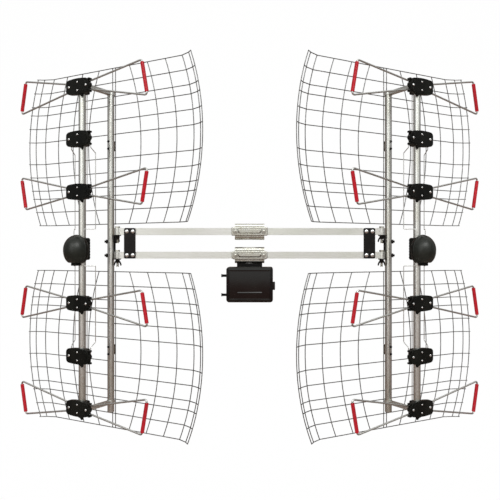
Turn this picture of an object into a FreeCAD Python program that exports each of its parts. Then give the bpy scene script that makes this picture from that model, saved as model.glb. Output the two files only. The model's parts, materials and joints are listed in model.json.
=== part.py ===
import FreeCAD, Part

import math
import os
import re

import Sketcher

# Eight-bay bow-tie television antenna: two mirrored four-bay panels with wire grid reflectors,
# each hinged about a vertical bolt line at one end of a pair of crossbars. The crossbars clamp
# to a vertical pole with two U-bolts and carry the signal combiner box.
#
# Origin: on the pole's axis, halfway between the two crossbars. Every piece is drawn about the
# bars' centre plane, and subpart() then sets it forward of the pole by pole_y.
# +Z is up, +X is to the right of a person facing the antenna's front, and the front is -Y.
#
# Panel frame: origin on the rear tube's axis, x towards the antenna's middle, y backwards, z up.

SIZES = {
    # tubes of a panel
    "tube_d": 16, "tube_wall": 1.2, "boom_gap": 93, "boom_half": 378,
    "rear_top": 371, "rear_bottom": 389, "arm_z": 365.5, "arm_tall": 8, "collar_r": 9.5,
    # where a panel sits, and how far it is turned outward
    "panel_z": -10.4, "yaw": 30, "hinge_gap": 21,
    # wire grid reflectors
    "grid_z": 242.5, "grid_half": 185.7, "grid_back": 9.15, "grid_wire": 2.1, "grid_bow": 35.3,
    "grid_taper": 0.018, "grid_bend": 6, "curl_first": 9.5, "curl_last": 19.2, "wire_over": 1.6,
    "clip_screw_d": 3,
    # bays along the boom
    "bay_outer": 359.7, "bay_inner": 124.7, "spacer_z": 242.9,
    "block_wide": 67, "block_tall": 36, "block_crown": 3, "block_front": 14, "block_deep": 12,
    "block_back": 12, "block_round": 4, "screw_side": 25.6, "screw_rise": 9.2,
    "side_screw_r": 3.2, "mid_screw_r": 2.5, "block_extra": 3.4, "screw_shift": 2.6,
    # bow-tie elements
    "rod_d": 4, "rod_ahead": 6, "root_z": 10, "short_x": 176, "short_z": 34.4,
    "long_x": 191, "long_z": 42, "rod_bend": 5, "sleeve_d": 7, "sleeve_long": 64,
    # feed lines
    "feed_d": 1.8, "feed_x": 31.4, "feed_y": 9, "feed_end": 41, "line_x": 4.5, "line_y": 10.4,
    # balun housing
    "dome_wide": 57, "dome_tall": 62, "dome_deep": 30, "dome_wall": 2, "dome_ahead": 17,
    "dome_drop": 3, "shell_deep": 13, "grip_wide": 30, "grip_back": 11, "skirt_wide": 14.6,
    "skirt_deep": 13.4, "skirt_tall": 6.6, "jack_ahead": 21, "wire_in_x": 15, "wire_in_z": 24,
    # crossbars, end arms and joining plates
    "bar_z": 27.8, "bar_tall": 16, "bar_deep": 12, "bar_wall": 1.5, "bar_half": 264,
    "hinge_x": 311, "lug_r": 8, "plate_x": 280.8, "plate_wide": 27, "plate_tall": 71.8,
    "plate_thick": 3, "plate_round": 4, "plate_hole_x": 7, "bolt_d": 6, "dome_head_r": 5,
    # aiming bracket
    "web_thick": 3, "web_half": 5.5, "web_turn": 45, "flange_thick": 2.5, "screw_z_top": 4.3,
    "screw_z_low": -28.4, "screw_d": 5,
    # pole clamps
    "leg_x": 32.8, "jaw_wide": 84.5, "jaw_tall": 20, "jaw_thick": 3.5, "boss_wide": 53,
    "boss_tall": 10, "boss_deep": 2.5, "boss_slope": 4, "saddle_wide": 70, "saddle_tall": 38,
    "saddle_thick": 2.5, "saddle_deep": 16, "pole_r": 19, "pole_y": 30.5,
    # combiner box
    "box_wide": 108, "box_top": -55, "box_low": -137, "box_back": 8.5, "box_split": -14,
    "box_step": 3.6, "lid_deep": 21, "lid_round": 7, "box_wall": 2.5, "lid_bevel": 6.5,
    "neck_wide": 60, "seal_thick": 1, "port_z_top": -76, "port_z_low": -121, "port_y": -3,
    "port_neck_r": 3, "port_reach": 66.5, "jack_r": 4.76, "rear_port_x": 40, "rear_port_rise": 28,
    "rear_neck_r": 4.2, "knuckle_r": 1.9,
    # running clearance of a moving piece on its pin, and the gap between neighbouring pieces
    "slack": 0.05, "gap": 0.05,
}

doc = FreeCAD.newDocument("bowtie_antenna")
sheet = doc.addObject("Spreadsheet::Sheet", "Sizes")
for row, (alias, value) in enumerate(SIZES.items(), start=1):
    sheet.set("A%d" % row, alias)
    sheet.set("B%d" % row, str(value))
    sheet.setAlias("B%d" % row, alias)
doc.recompute()

V = FreeCAD.Vector
UP, RIGHT, BACK = V(0, 0, 1), V(1, 0, 0), V(0, 1, 0)
SUBPARTS = []


# ---------------------------------------------------------------- helpers

def size(text):
    """The value of a formula over the sheet's aliases."""
    names = {alias: float(sheet.get(alias)) for alias in SIZES}
    total = 0.0
    for sign, term in re.findall(r"([+-]?)\s*([a-z_0-9./* ]+)", str(text)):
        product = 1.0
        for op, word in re.findall(r"([*/]?)\s*([a-z_0-9.]+)", term):
            number = names[word] if word in names else float(word)
            product = product / number if op == "/" else product * number
        total += -product if sign == "-" else product
    return total


def formula(text):
    """The same formula as an expression that reads the sheet's cells."""
    def cell(word):
        return "Sizes." + word.group() if word.group() in SIZES else word.group()
    return re.sub(r"[a-z][a-z_0-9]*", cell, str(text))


def bind(obj, **formulas):
    for prop, text in formulas.items():
        obj.setExpression(prop.replace("__", "."), formula(text))
    return obj


def box(name, wide, deep, tall, x=0, y=0, z=0):
    """A block with its centre at x, y, z."""
    obj = doc.addObject("Part::Box", name)
    bind(obj, Length=wide, Width=deep, Height=tall)
    bind(obj, Placement__Base__x="%s - (%s) / 2" % (x, wide))
    bind(obj, Placement__Base__y="%s - (%s) / 2" % (y, deep))
    return bind(obj, Placement__Base__z="%s - (%s) / 2" % (z, tall))


TURN = {"z": FreeCAD.Rotation(), "x": FreeCAD.Rotation(BACK, 90), "y": FreeCAD.Rotation(RIGHT, -90)}


def along(obj, length, x, y, z, axis):
    """Centre an upright primitive at x, y, z with its own axis along the named axis."""
    obj.Placement = FreeCAD.Placement(V(), TURN[axis])
    centre = {"x": x, "y": y, "z": z}
    for name, text in centre.items():
        shift = " - (%s) / 2" % length if name == axis else ""
        obj.setExpression("Placement.Base." + name, formula("%s%s" % (text, shift)))
    return obj


def rod(name, radius, length, x=0, y=0, z=0, axis="z"):
    obj = doc.addObject("Part::Cylinder", name)
    bind(obj, Radius=radius, Height=length)
    return along(obj, length, x, y, z, axis)


def hexagon(name, flats, length, x=0, y=0, z=0, axis="z"):
    obj = doc.addObject("Part::Prism", name)
    obj.Polygon = 6
    bind(obj, Circumradius="(%s) / 1.7320508" % flats, Height=length)
    return along(obj, length, x, y, z, axis)


def fuse(name, parts):
    obj = doc.addObject("Part::MultiFuse", name)
    obj.Shapes = parts
    obj.Refine = True
    return obj


def cut(name, base, tools):
    obj = doc.addObject("Part::Cut", name)
    obj.Base = base
    obj.Tool = tools[0] if len(tools) == 1 else fuse(name + "_tools", tools)
    return obj


def common(name, base, tool):
    obj = doc.addObject("Part::Common", name)
    obj.Base = base
    obj.Tool = tool
    return obj


def group(name, parts):
    obj = doc.addObject("Part::Compound", name)
    obj.Links = parts
    return obj


def mirror(name, source, normal, z=0):
    obj = doc.addObject("Part::Mirroring", name)
    obj.Source = source
    obj.Normal = normal
    return bind(obj, Base__z=z)


def copy_at(name, source, x=0, y=0, z=0):
    """A second, linked copy of a piece, moved by x, y, z."""
    obj = doc.addObject("Part::Compound", name)
    obj.Links = [source]
    return bind(obj, Placement__Base__x=x, Placement__Base__y=y, Placement__Base__z=z)


def fixed(name, shape):
    """A piece whose outline is worked out below from the sheet's sizes."""
    obj = doc.addObject("Part::Feature", name)
    obj.Shape = shape
    return obj


def subpart(obj, label):
    """Set a piece that was drawn about the crossbars' centre plane forward of the pole."""
    obj.Label = label + "_drawn"
    placed = group(label + "_placed", [obj])
    placed.Label = label
    SUBPARTS.append(bind(placed, Placement__Base__y="-pole_y"))
    return obj


def on_panels(obj, name):
    """Place a left panel piece and make its mirror image for the right panel."""
    obj.Placement = FreeCAD.Placement(V(), FreeCAD.Rotation(V(0, 0, -1), size("yaw")))
    bind(obj, Placement__Base__x="-hinge_x - hinge_gap * cos(yaw)")
    bind(obj, Placement__Base__y="hinge_gap * sin(yaw)")
    bind(obj, Placement__Rotation__Angle="yaw")
    subpart(obj, "left_" + name)
    subpart(mirror("right_" + name, obj, RIGHT), "right_" + name)


def turned(name, obj, angle):
    """The piece turned about the upright axis through its own origin."""
    made = group(name, [obj])
    made.Placement = FreeCAD.Placement(V(), FreeCAD.Rotation(UP, size(angle)))
    return bind(made, Placement__Rotation__Angle=angle)


def rounded(name, base, radius, wanted):
    """Fillet the edges for which wanted(edge) is true."""
    obj = doc.addObject("Part::Fillet", name)
    obj.Base = base
    doc.recompute()
    obj.Edges = [(i, radius, radius) for i, edge in enumerate(base.Shape.Edges, start=1)
                 if wanted(edge)]
    return obj


def round_face(centre, way, radius, seam):
    """A disc across a wire's path, with the seam of its rim turned towards one side."""
    way = V(way).normalize()
    rim = Part.makeCircle(radius, centre, way)
    now = rim.Vertexes[0].Point - centre
    wanted = seam - way * seam.dot(way)
    angle = math.atan2(now.cross(wanted).dot(way), now.dot(wanted))
    rim.rotate(centre, way, math.degrees(angle))
    return Part.Face(Part.Wire(rim))


def bend_reach(before, corner, after, bend):
    """How far from its corner a bend of that radius starts and ends."""
    return bend * math.tan((corner - before).getAngle(after - corner) / 2)


def bent_rod(points, diameter, bend):
    """A round rod along straight runs joined by bends."""
    edges = []
    start = points[0]
    for before, corner, after in zip(points, points[1:], points[2:]):
        arriving = (corner - before).normalize()
        leaving = (after - corner).normalize()
        turn = arriving.getAngle(leaving)
        if turn < 1e-4:
            continue
        reach = bend_reach(before, corner, after, bend)
        first, last = corner - arriving * reach, corner + leaving * reach
        inward = (leaving - arriving).normalize()
        middle = corner + inward * (bend / math.cos(turn / 2) - bend)
        edges += [Part.makeLine(start, first), Part.Arc(first, middle, last).toShape()]
        start = last
    edges.append(Part.makeLine(start, points[-1]))
    end = round_face(points[0], points[1] - points[0], diameter / 2, -BACK)
    return Part.Wire(edges).makePipe(end)


# ---------------------------------------------------------------- sketch helpers

def origin_plane(body, role):
    return [plane for plane in body.Origin.OriginFeatures if plane.Role == role][0]


def new_sketch(body, name, role):
    sketch = body.newObject("Sketcher::SketchObject", name)
    sketch.AttachmentSupport = [(origin_plane(body, role), "")]
    sketch.MapMode = "FlatFace"
    return sketch


def sketch_rectangle(sketch, wide, tall, x="0", y="0"):
    """A rectangle with its centre at x, y, all four sizes bound to formulas."""
    half_w, half_t = size(wide) / 2, size(tall) / 2
    cx, cy = size(x), size(y)
    corners = [V(cx + sx * half_w, cy + sy * half_t, 0) for sx, sy in
               ((-1, -1), (1, -1), (1, 1), (-1, 1))]
    first = sketch.GeometryCount
    for a, b in zip(corners, corners[1:] + corners[:1]):
        sketch.addGeometry(Part.LineSegment(a, b), False)
    for side in range(4):
        nxt = first + (side + 1) % 4
        sketch.addConstraint(Sketcher.Constraint("Coincident", first + side, 2, nxt, 1))
        kind = "Horizontal" if side % 2 == 0 else "Vertical"
        sketch.addConstraint(Sketcher.Constraint(kind, first + side))
    for kind, line, text in (("DistanceX", first, wide), ("DistanceY", first + 1, tall)):
        index = sketch.addConstraint(Sketcher.Constraint(kind, line, 1, line, 2, size(text)))
        sketch.setExpression("Constraints[%d]" % index, formula(text))
    for kind, text in (("DistanceX", "%s - (%s) / 2" % (x, wide)),
                       ("DistanceY", "%s - (%s) / 2" % (y, tall))):
        value = corners[0].x if kind == "DistanceX" else corners[0].y
        index = sketch.addConstraint(Sketcher.Constraint(kind, -1, 1, first, 1, value))
        sketch.setExpression("Constraints[%d]" % index, formula(text))


def sketch_circle(sketch, radius, x="0", y="0"):
    cx, cy = size(x), size(y)
    index = sketch.addGeometry(Part.Circle(V(cx, cy, 0), UP, size(radius)), False)
    which = sketch.addConstraint(Sketcher.Constraint("Radius", index, size(radius)))
    sketch.setExpression("Constraints[%d]" % which, formula(radius))
    for kind, value, text in (("DistanceX", cx, x), ("DistanceY", cy, y)):
        which = sketch.addConstraint(Sketcher.Constraint(kind, -1, 1, index, 3, value))
        sketch.setExpression("Constraints[%d]" % which, formula(text))


def pad(body, sketch, length, name, backwards=False):
    feature = body.newObject("PartDesign::Pad", name)
    feature.Profile = sketch
    feature.Reversed = backwards
    return bind(feature, Length=length)


def pocket(body, sketch, length, name, backwards=False, through=False):
    feature = body.newObject("PartDesign::Pocket", name)
    feature.Profile = sketch
    feature.Reversed = backwards
    if through:
        feature.Type = "ThroughAll"
        feature.Midplane = True
        return feature
    return bind(feature, Length=length)


def edges_of(feature, wanted):
    """Names of the straight edges of a feature for which wanted(edge) is true."""
    return ["Edge%d" % (i + 1) for i, edge in enumerate(feature.Shape.Edges) if wanted(edge)]


def runs_along(edge, axis):
    return abs(edge.tangentAt(edge.FirstParameter).dot(axis)) > 0.999


# ---------------------------------------------------------------- tubes and arms of a panel

def tube(name, top, bottom, x="0", y="0"):
    middle = "(%s + %s) / 2" % (top, bottom)
    length = "%s - (%s)" % (top, bottom)
    outer = rod(name + "_outer", "tube_d / 2", length, x, y, middle)
    inner = rod(name + "_inner", "tube_d / 2 - tube_wall", length, x, y, middle)
    return outer, inner


def make_tubes():
    outer, inner = tube("rear_tube", "panel_z + rear_top", "panel_z - rear_bottom")
    holes = [turned("rear_turned_%s" % end, rod("rear_hole_%s" % end, "screw_d / 2 + slack",
                                                "tube_d + 2", z="screw_z_" + end, axis="x"),
                    "web_turn") for end in ("top", "low")]
    for side in ("+", "-"):
        for rise in ("+", "-"):
            where = "panel_z %s grid_z %s 8.5" % (side, rise)
            holes.append(rod("clip_hole", "clip_screw_d / 2 + slack", "tube_d + 4", "0", "0", where,
                             "y"))
    on_panels(cut("left_mast_tube", outer, [inner] + holes), "mast_tube")
    outer, inner = tube("boom", "panel_z + boom_half", "panel_z - boom_half", y="-boom_gap")
    on_panels(cut("left_boom", outer, [inner]), "boom")


def make_standoff_arms():
    arms = []
    for label, z in (("top", "panel_z + arm_z"), ("low", "panel_z - arm_z")):
        bar = box("arm_bar_" + label, "12", "boom_gap", "arm_tall", y="-boom_gap / 2", z=z)
        ends = [rod("arm_end_" + label, "collar_r", "arm_tall", y=y, z=z)
                for y in ("0", "-boom_gap")]
        bores = [rod("arm_bore_" + label, "tube_d / 2 + gap", "arm_tall + 2", y=y, z=z)
                 for y in ("0", "-boom_gap")]
        arms.append(cut("arm_" + label, fuse("arm_body_" + label, [bar] + ends), bores))
    on_panels(group("left_standoff_arms", arms), "standoff_arms")


# ---------------------------------------------------------------- wire grid reflector

GRID_COLUMNS = (232.8, 220.8, 196.8, 150.4, 99.5, 46.9)   # outermost to innermost, each side
GRID_ROWS = (185.7, 151.7, 117.6, 96.7, 62.3, 28.0)       # outermost to innermost, each half
GRID_PAIR = 4.5                                           # the two straight middle wires


def column_x(column, height):
    """Distance from the middle of a bowed upright wire at a height over the grid's centre."""
    half, bow, taper = size("grid_half"), size("grid_bow"), size("grid_taper")
    arc_r = (half * half + bow * bow) / (2 * bow)
    sagitta = math.sqrt(arc_r * arc_r - height * height) - (arc_r - bow)
    return GRID_COLUMNS[column] * (1 + taper * height / half) + sagitta


def grid_wires():
    """Rows bent forward at both ends, and bowed upright wires welded to their backs."""
    wire = size("grid_wire")
    over = size("wire_over")
    forward = [size("curl_last"), size("curl_first"), 0, 0, 0, 0]
    wires = []
    for height in GRID_ROWS + tuple(-row for row in reversed(GRID_ROWS)):
        side = [V(column_x(c, height), -forward[c], height) for c in range(3)]
        side[0].x += over
        points = [V(-p.x, p.y, p.z) for p in side] + list(reversed(side))
        wires.append(bent_rod(points, wire, size("grid_bend")))
    for column, ahead in enumerate(forward):
        for mirrored in (-1, 1):
            ends = [V(mirrored * column_x(column, h), wire - ahead, h)
                    for h in (-GRID_ROWS[0], 0, GRID_ROWS[0])]
            arc = Part.Arc(*ends).toShape()
            end = round_face(ends[0], arc.tangentAt(arc.FirstParameter), wire / 2, BACK)
            wires.append(Part.Wire([arc]).makePipe(end))
    for x in (-GRID_PAIR, GRID_PAIR):
        length = 2 * (GRID_ROWS[0] + over)
        wires.append(Part.makeCylinder(wire / 2, length, V(x, wire, -length / 2)))
    return wires


def make_reflectors():
    back = size("grid_back")
    for label, z in (("upper", "panel_z + grid_z"), ("lower", "panel_z - grid_z")):
        wires = [wire.translated(V(0, back, size(z))) for wire in grid_wires()]
        on_panels(fixed("left_%s_reflector" % label, Part.makeCompound(wires)),
                  label + "_reflector")


def make_reflector_clips():
    """A plate behind each grid's middle wires, drawn to the rear tube by two screws."""
    clips, screws = [], []
    plate_y = "grid_back + grid_wire * 1.5 + gap + 0.8"
    for side in ("+", "-"):
        z = "panel_z %s grid_z" % side
        plate = box("clip_plate", "8", "1.6", "24", "-2", plate_y, z)
        holes = [rod("clip_bore", "clip_screw_d / 2 + slack", "6", "0", plate_y,
                     "%s %s 8.5" % (z, rise), "y") for rise in ("+", "-")]
        clips.append(cut("clip", plate, holes))
        for rise in ("+", "-"):
            where = "%s %s 8.5" % (z, rise)
            shank = rod("clip_shank", "clip_screw_d / 2", "tube_d / 2 + 15", "0",
                        "-tube_d / 4 + 7.5", where, "y")
            head = rod("clip_head", "2.8", "2", "0", "-tube_d / 2 - gap - 1", where, "y")
            screws.append(fuse("clip_screw", [shank, head]))
    on_panels(group("left_reflector_clips", clips), "reflector_clips")
    on_panels(group("left_clip_screws", screws), "clip_screws")


# ---------------------------------------------------------------- blocks, elements, feed lines

BAYS = (("panel_z + bay_outer", -1), ("panel_z + bay_inner", 1),
        ("panel_z - bay_inner", -1), ("panel_z - bay_outer", 1))    # height, side of the long run
SPACERS = ("panel_z + spacer_z", "panel_z - spacer_z")


def block_body(name, z):
    """The moulded block that grips the boom: a crowned front and a narrower rear saddle."""
    arc = "block_wide * block_wide / 8 / block_crown + block_crown / 2"
    drop = "block_wide * block_wide / 8 / block_crown - block_crown / 2"
    middle_y = "-boom_gap - block_front + block_deep / 2"
    front = box(name + "_front", "block_wide + block_extra", "block_deep", "block_tall",
                "-block_extra / 2", middle_y, z)
    crowns = [rod(name + "_crown", arc, "block_deep + 2", "0", middle_y,
                  "%s %s block_tall / 2 %s %s %s block_crown" % (z, sign, other, drop, other), "y")
              for sign, other in (("+", "-"), ("-", "+"))]
    crowned = common(name + "_crowned", common(name + "_topped", front, crowns[0]), crowns[1])
    corners = rounded(name + "_corners", crowned, size("block_round"),
                      lambda edge: runs_along(edge, BACK))
    rear = box(name + "_rear", "26", "block_back + 2.5", "block_tall - 4",
               y="-boom_gap + block_back / 2 - 1.25", z=z)
    tail = box(name + "_tail", "9", "5", "14", "6", "-boom_gap - block_front + 3.5",
               z + " - block_tall / 2 + 2")
    return fuse(name + "_solid", [corners, rear, tail])


def screw_places(z):
    """x, z and radius of the four screws on a block's face."""
    return (("screw_side - screw_shift", z, "side_screw_r"),
            ("-screw_side - screw_shift", z, "side_screw_r"),
            ("-screw_shift", z + " + screw_rise", "mid_screw_r"),
            ("-screw_shift", z + " - screw_rise", "mid_screw_r"))


def block_bores(z, with_rods):
    holes = [rod("bore", "tube_d / 2 + gap", "block_tall + 20", y="-boom_gap", z=z)]
    for x, at, radius in screw_places(z):
        holes.append(rod("screw_bore", radius + " / 2 + gap", "4.6", x,
                         "-boom_gap - block_front + 2", at, "y"))
    for x in ("line_x", "-line_x"):
        holes.append(rod("line_bore", "feed_d / 2 + gap", "block_tall + 2", x,
                         "-boom_gap + line_y", z))
    for x, deep in (("block_wide / 2 - 6", "14.1"),
                    ("-block_wide / 2 - block_extra / 2 + 6", "block_extra + 14.1")):
        for rise in ("+", "-"):
            at = "%s %s root_z" % (z, rise)
            if with_rods:
                holes.append(rod("root_bore", "rod_d / 2 + gap", deep, x, "-boom_gap - rod_ahead",
                                 at, "x"))
            else:
                holes.append(box("notch", "9", "7", "7", x + (" + 4" if x[0] != "-" else " - 4"),
                                 "-boom_gap - rod_ahead", at))
        if not with_rods:
            edge = "block_wide / 2 - 4" if x[0] != "-" else "-block_wide / 2 + 4"
            holes.append(rod("feed_bore", "feed_d / 2 + gap", "block_tall + 2", edge,
                             "-boom_gap - 4", z))
    return holes


def arm_clearance(z):
    """Room behind the outermost blocks for the standoff arm's collar and bar."""
    arm = "panel_z - arm_z" if z.startswith("panel_z -") else "panel_z + arm_z"
    return [rod("collar_room", "collar_r + gap", "arm_tall + gap * 2", y="-boom_gap", z=arm),
            box("arm_room", "12 + gap * 2", "20", "arm_tall + gap * 2", y="-boom_gap + 10", z=arm)]


def make_blocks():
    holders = []
    for i, (z, _) in enumerate(BAYS):
        room = arm_clearance(z) if "outer" in z else []
        holders.append(cut("holder", block_body("holder_%d" % i, z), block_bores(z, True) + room))
    blanks = [cut("blank", block_body("blank_%d" % i, z), block_bores(z, False))
              for i, z in enumerate(SPACERS)]
    on_panels(group("left_bay_insulators", holders), "bay_insulators")
    on_panels(group("left_blank_spacers", blanks), "blank_spacers")
    screws = []
    for z in [z for z, _ in BAYS] + list(SPACERS):
        for x, at, radius in screw_places(z):
            shank = rod("block_shank", radius + " / 2", "4.2", x, "-boom_gap - block_front + 2",
                        at, "y")
            head = rod("block_head", radius, "1.4", x, "-boom_gap - block_front - 0.75", at, "y")
            screws.append(fuse("block_screw", [shank, head]))
    on_panels(group("left_block_screws", screws), "block_screws")


def element_points(z, long_side, mirrored):
    """Corner points of one V-shaped element, from one root to the other."""
    y = size("-boom_gap - rod_ahead")
    root_x = size("block_wide / 2 - 12")
    edge_x = size("block_wide / 2 + 1.5") + (size("block_extra") if mirrored < 0 else 0)
    root, short, far = size("root_z"), size("short_z"), size("long_z")
    outline = ((root_x, -root), (edge_x, -root), (size("short_x"), -short),
               (size("long_x"), far), (edge_x, root), (root_x, root))
    return [V(mirrored * x, y, size(z) + long_side * rise) for x, rise in outline]


def make_elements():
    rods, sleeves = [], []
    diameter, outer = size("rod_d"), size("sleeve_d")
    length, bend = size("sleeve_long"), size("rod_bend")
    for z, long_side in BAYS:
        for mirrored in (-1, 1):
            points = element_points(z, long_side, mirrored)
            rods.append(bent_rod(points, diameter, bend))
            way = points[3] - points[2]
            low = bend_reach(*points[1:4], bend)
            spare = way.Length - low - bend_reach(*points[2:5], bend) - length
            way.normalize()
            start = points[2] + way * (low + spare / 2)
            shell = Part.makeCylinder(outer / 2, length, start, way)
            bore = Part.makeCylinder(diameter / 2 + size("gap"), length, start, way)
            sleeves.append(shell.cut(bore))
    on_panels(fixed("left_elements", Part.makeCompound(rods)), "bowtie_elements")
    on_panels(fixed("left_tip_sleeves", Part.makeCompound(sleeves)), "tip_sleeves")


def make_feed_lines():
    """Straight lines behind the boom join the bays; a bent pair runs from spacer to balun."""
    diameter = size("feed_d")
    middle = size("panel_z")
    lines = []
    for half in (1, -1):
        for side in (1, -1):
            ends = [V(side * size("line_x"), size("-boom_gap + line_y"), middle + half * size(h))
                    for h in ("bay_outer", "bay_inner")]
            run = ends[1] - ends[0]
            lines.append(Part.makeCylinder(diameter / 2, run.Length, ends[0], run))
            wire_x, wire_y = side * size("feed_x"), size("-boom_gap + feed_y")
            edge, edge_y = side * size("block_wide / 2 - 4"), size("-boom_gap - 4")
            inner, inner_y = side * size("wire_in_x"), size("-boom_gap - dome_ahead / 2 - 2")
            spacer, balun = size("spacer_z"), size("feed_end")
            points = [V(edge, edge_y, middle + half * (spacer - 6)),
                      V(edge, edge_y, middle + half * (spacer - 21)),
                      V(wire_x, wire_y, middle + half * (spacer - 32)),
                      V(wire_x, wire_y, middle + half * balun),
                      V(inner, inner_y, middle + half * balun),
                      V(inner, inner_y, middle + half * size("wire_in_z"))]
            lines.append(bent_rod(points, diameter, 2.5))
    on_panels(fixed("left_feed_lines", Part.makeCompound(lines)), "feed_lines")


# ---------------------------------------------------------------- balun housing

def egg(inset, deep):
    """Egg shape about the housing's middle, flat underneath."""
    wide, tall = size("dome_wide") / 2 - inset, size("dome_tall") / 2 - inset
    low = 1.07
    ball = Part.makeSphere(1.0)
    stretch = FreeCAD.Matrix()
    stretch.scale(wide, deep, tall * low)
    ball = ball.transformGeometry(stretch)
    middle = size("panel_z - dome_drop")
    ball.translate(V(0, size("-boom_gap - dome_ahead"), middle - size("dome_tall") / 2 * (low - 1)))
    floor = middle - size("dome_tall") / 2 + inset
    return ball.common(Part.makeBox(200, 200, 200, V(-100, size("-boom_gap") - 100, floor)))


def slab(front_y, back_y, wide=200, low=None, tall=200):
    """A block between two depths, used to trim and to build the housing."""
    low = size("panel_z") - tall / 2 if low is None else low
    return Part.makeBox(wide, back_y - front_y, tall, V(-wide / 2, front_y, low))


def make_balun():
    boom_y, rim_y = size("-boom_gap"), size("-boom_gap - dome_ahead")
    gap, wall = size("gap"), size("dome_wall")
    middle = size("panel_z - dome_drop")
    floor = middle - size("dome_tall / 2")
    jack = V(0, size("-boom_gap - jack_ahead"), floor)
    cover = egg(0, size("dome_deep")).common(slab(rim_y - 100, rim_y))
    cover = cover.cut(egg(wall, size("dome_deep") - wall))
    cover = cover.cut(Part.makeCylinder(size("jack_r") + 3 * gap, 20, jack - UP * 10))
    on_panels(fixed("left_balun_cover", cover), "balun_cover")
    # rear shell, with the grip round the boom and the skirt round the jack
    shell = egg(0.6, size("shell_deep") * 2)
    shell = shell.common(slab(rim_y + gap, rim_y + size("shell_deep")))
    grip_tall = size("dome_tall") * 0.8
    grip = slab(boom_y - 6, boom_y + size("grip_back"), size("grip_wide"),
                middle - grip_tall / 2, grip_tall)
    skirt = slab(jack.y - size("skirt_deep / 2"), jack.y + size("skirt_deep / 2"),
                 size("skirt_wide"), floor - size("skirt_tall"), size("skirt_tall") - gap)
    strip = slab(rim_y + gap, rim_y + 4, size("skirt_wide"), floor - size("skirt_tall"),
                 size("skirt_tall") + 6)
    base = shell.multiFuse([grip, skirt, strip]).removeSplitter()
    base = base.cut(Part.makeCylinder(size("tube_d / 2 + gap"), 200, V(0, boom_y, middle - 100)))
    groove_step = 6.5
    for step in range(-3, 4):
        groove = slab(boom_y + size("grip_back") - 1.2, boom_y + size("grip_back") + 2, 60,
                      middle + step * groove_step - 1, 2)
        base = base.cut(groove)
    for side in (1, -1):
        for half in (1, -1):
            where = V(side * size("wire_in_x"), size("-boom_gap - dome_ahead / 2 - 2"),
                      size("panel_z") + half * size("wire_in_z"))
            bore = Part.makeCylinder(size("feed_d / 2") + gap, 30, where - UP * half * 0.2,
                                     UP * half)
            base = base.cut(bore)
    base = base.cut(Part.makeCylinder(size("jack_r") + gap, 10 + size("skirt_tall"),
                                      jack - UP * (size("skirt_tall") + 2)))
    on_panels(fixed("left_balun_base", base), "balun_base")
    on_panels(make_board("left_balun_board", "34", "32", "-boom_gap - dome_ahead - 2.5"),
              "balun_board")
    body = Part.makeCylinder(size("jack_r"), size("skirt_tall") + 2,
                             jack - UP * (size("skirt_tall") - 0.5))
    socket = Part.makeCylinder(2.6, 5, jack - UP * size("skirt_tall"))
    on_panels(fixed("left_coax_connector", body.cut(socket)), "coax_connector")


def make_board(name, wide, tall, y):
    """Circuit board with a two-hole ferrite transformer and two small cans."""
    z = "panel_z - dome_drop"
    plate = box(name + "_plate", wide, "1.6", tall, "0", y, z)
    core = box(name + "_core", "14", "7", "10", "0", y + " - 4.2", z + " + 5")
    cans = [rod(name + "_can", "3", "6", x, y + " - 3.6", z + " - 6", "y") for x in ("8", "-8")]
    return fuse(name, [plate, core] + cans)


# ---------------------------------------------------------------- aiming bracket

def bracket_flange(level):
    """Plate from the web to the round lug that turns on the hinge bolt."""
    turn, half = math.radians(size("web_turn")), size("web_half")
    near, far = size("tube_d / 2 + gap"), size("tube_d / 2 + gap + web_thick")
    lug, reach = size("lug_r"), size("hinge_gap")

    def corner(distance, side):
        return V(distance * math.cos(turn) - side * math.sin(turn),
                 distance * math.sin(turn) + side * math.cos(turn), 0)

    outline = [corner(near, half), corner(near, -half), V(reach, -lug, 0), V(reach, lug, 0),
               corner(far, half)]
    plate = Part.Face(Part.makePolygon(outline + outline[:1])).extrude(UP * size("flange_thick"))
    plate = plate.fuse(Part.makeCylinder(lug, size("flange_thick"), V(reach, 0, 0)))
    plate = plate.cut(Part.makeCylinder(size("bolt_d / 2 + slack"), 20, V(reach, 0, -10)))
    plate.translate(UP * (size(level) - size("flange_thick")))
    return plate.removeSplitter()


def make_mast_bracket():
    top, low = "bar_z - bar_tall / 2 - gap", "-bar_z - bar_tall / 2 - gap"
    web = box("bracket_web", "web_thick", "web_half * 2", "bar_z * 2 + flange_thick",
              "tube_d / 2 + gap + web_thick / 2", "0", "-bar_tall / 2 - gap - flange_thick / 2")
    bores = [rod("web_bore_" + end, "screw_d / 2 + slack", "web_thick + 6",
                 "tube_d / 2 + web_thick", "0", "screw_z_" + end, "x") for end in ("top", "low")]
    web = turned("bracket_turned_web", cut("bracket_bored_web", web, bores), "web_turn")
    flanges = [fixed("bracket_flange_" + end, Part.makeCompound([bracket_flange(level)]))
               for end, level in (("top", top), ("low", low))]
    on_panels(fuse("left_mast_bracket", [web] + flanges), "mast_bracket")
    screws = []
    for end in ("top", "low"):
        z = "screw_z_" + end
        outer_face = "tube_d / 2 + web_thick + gap * 2"
        shank = rod("bracket_shank", "screw_d / 2", "26.5", "-1.5", "0", z, "x")
        head = rod("bracket_head", "4", "2", outer_face + " + 1", "0", z, "x")
        holding_nut = hexagon("bracket_nut", "8", "3.6", "-tube_d / 2 - 1.9", "0", z, "x")
        screws.append(fuse("bracket_screw", [shank, head, holding_nut]))
    pair = turned("turned_screws", group("bracket_screw_pair", screws), "web_turn")
    on_panels(group("left_bracket_screws", [pair]), "bracket_screws")


# ---------------------------------------------------------------- crossbars and hinge lugs

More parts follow.
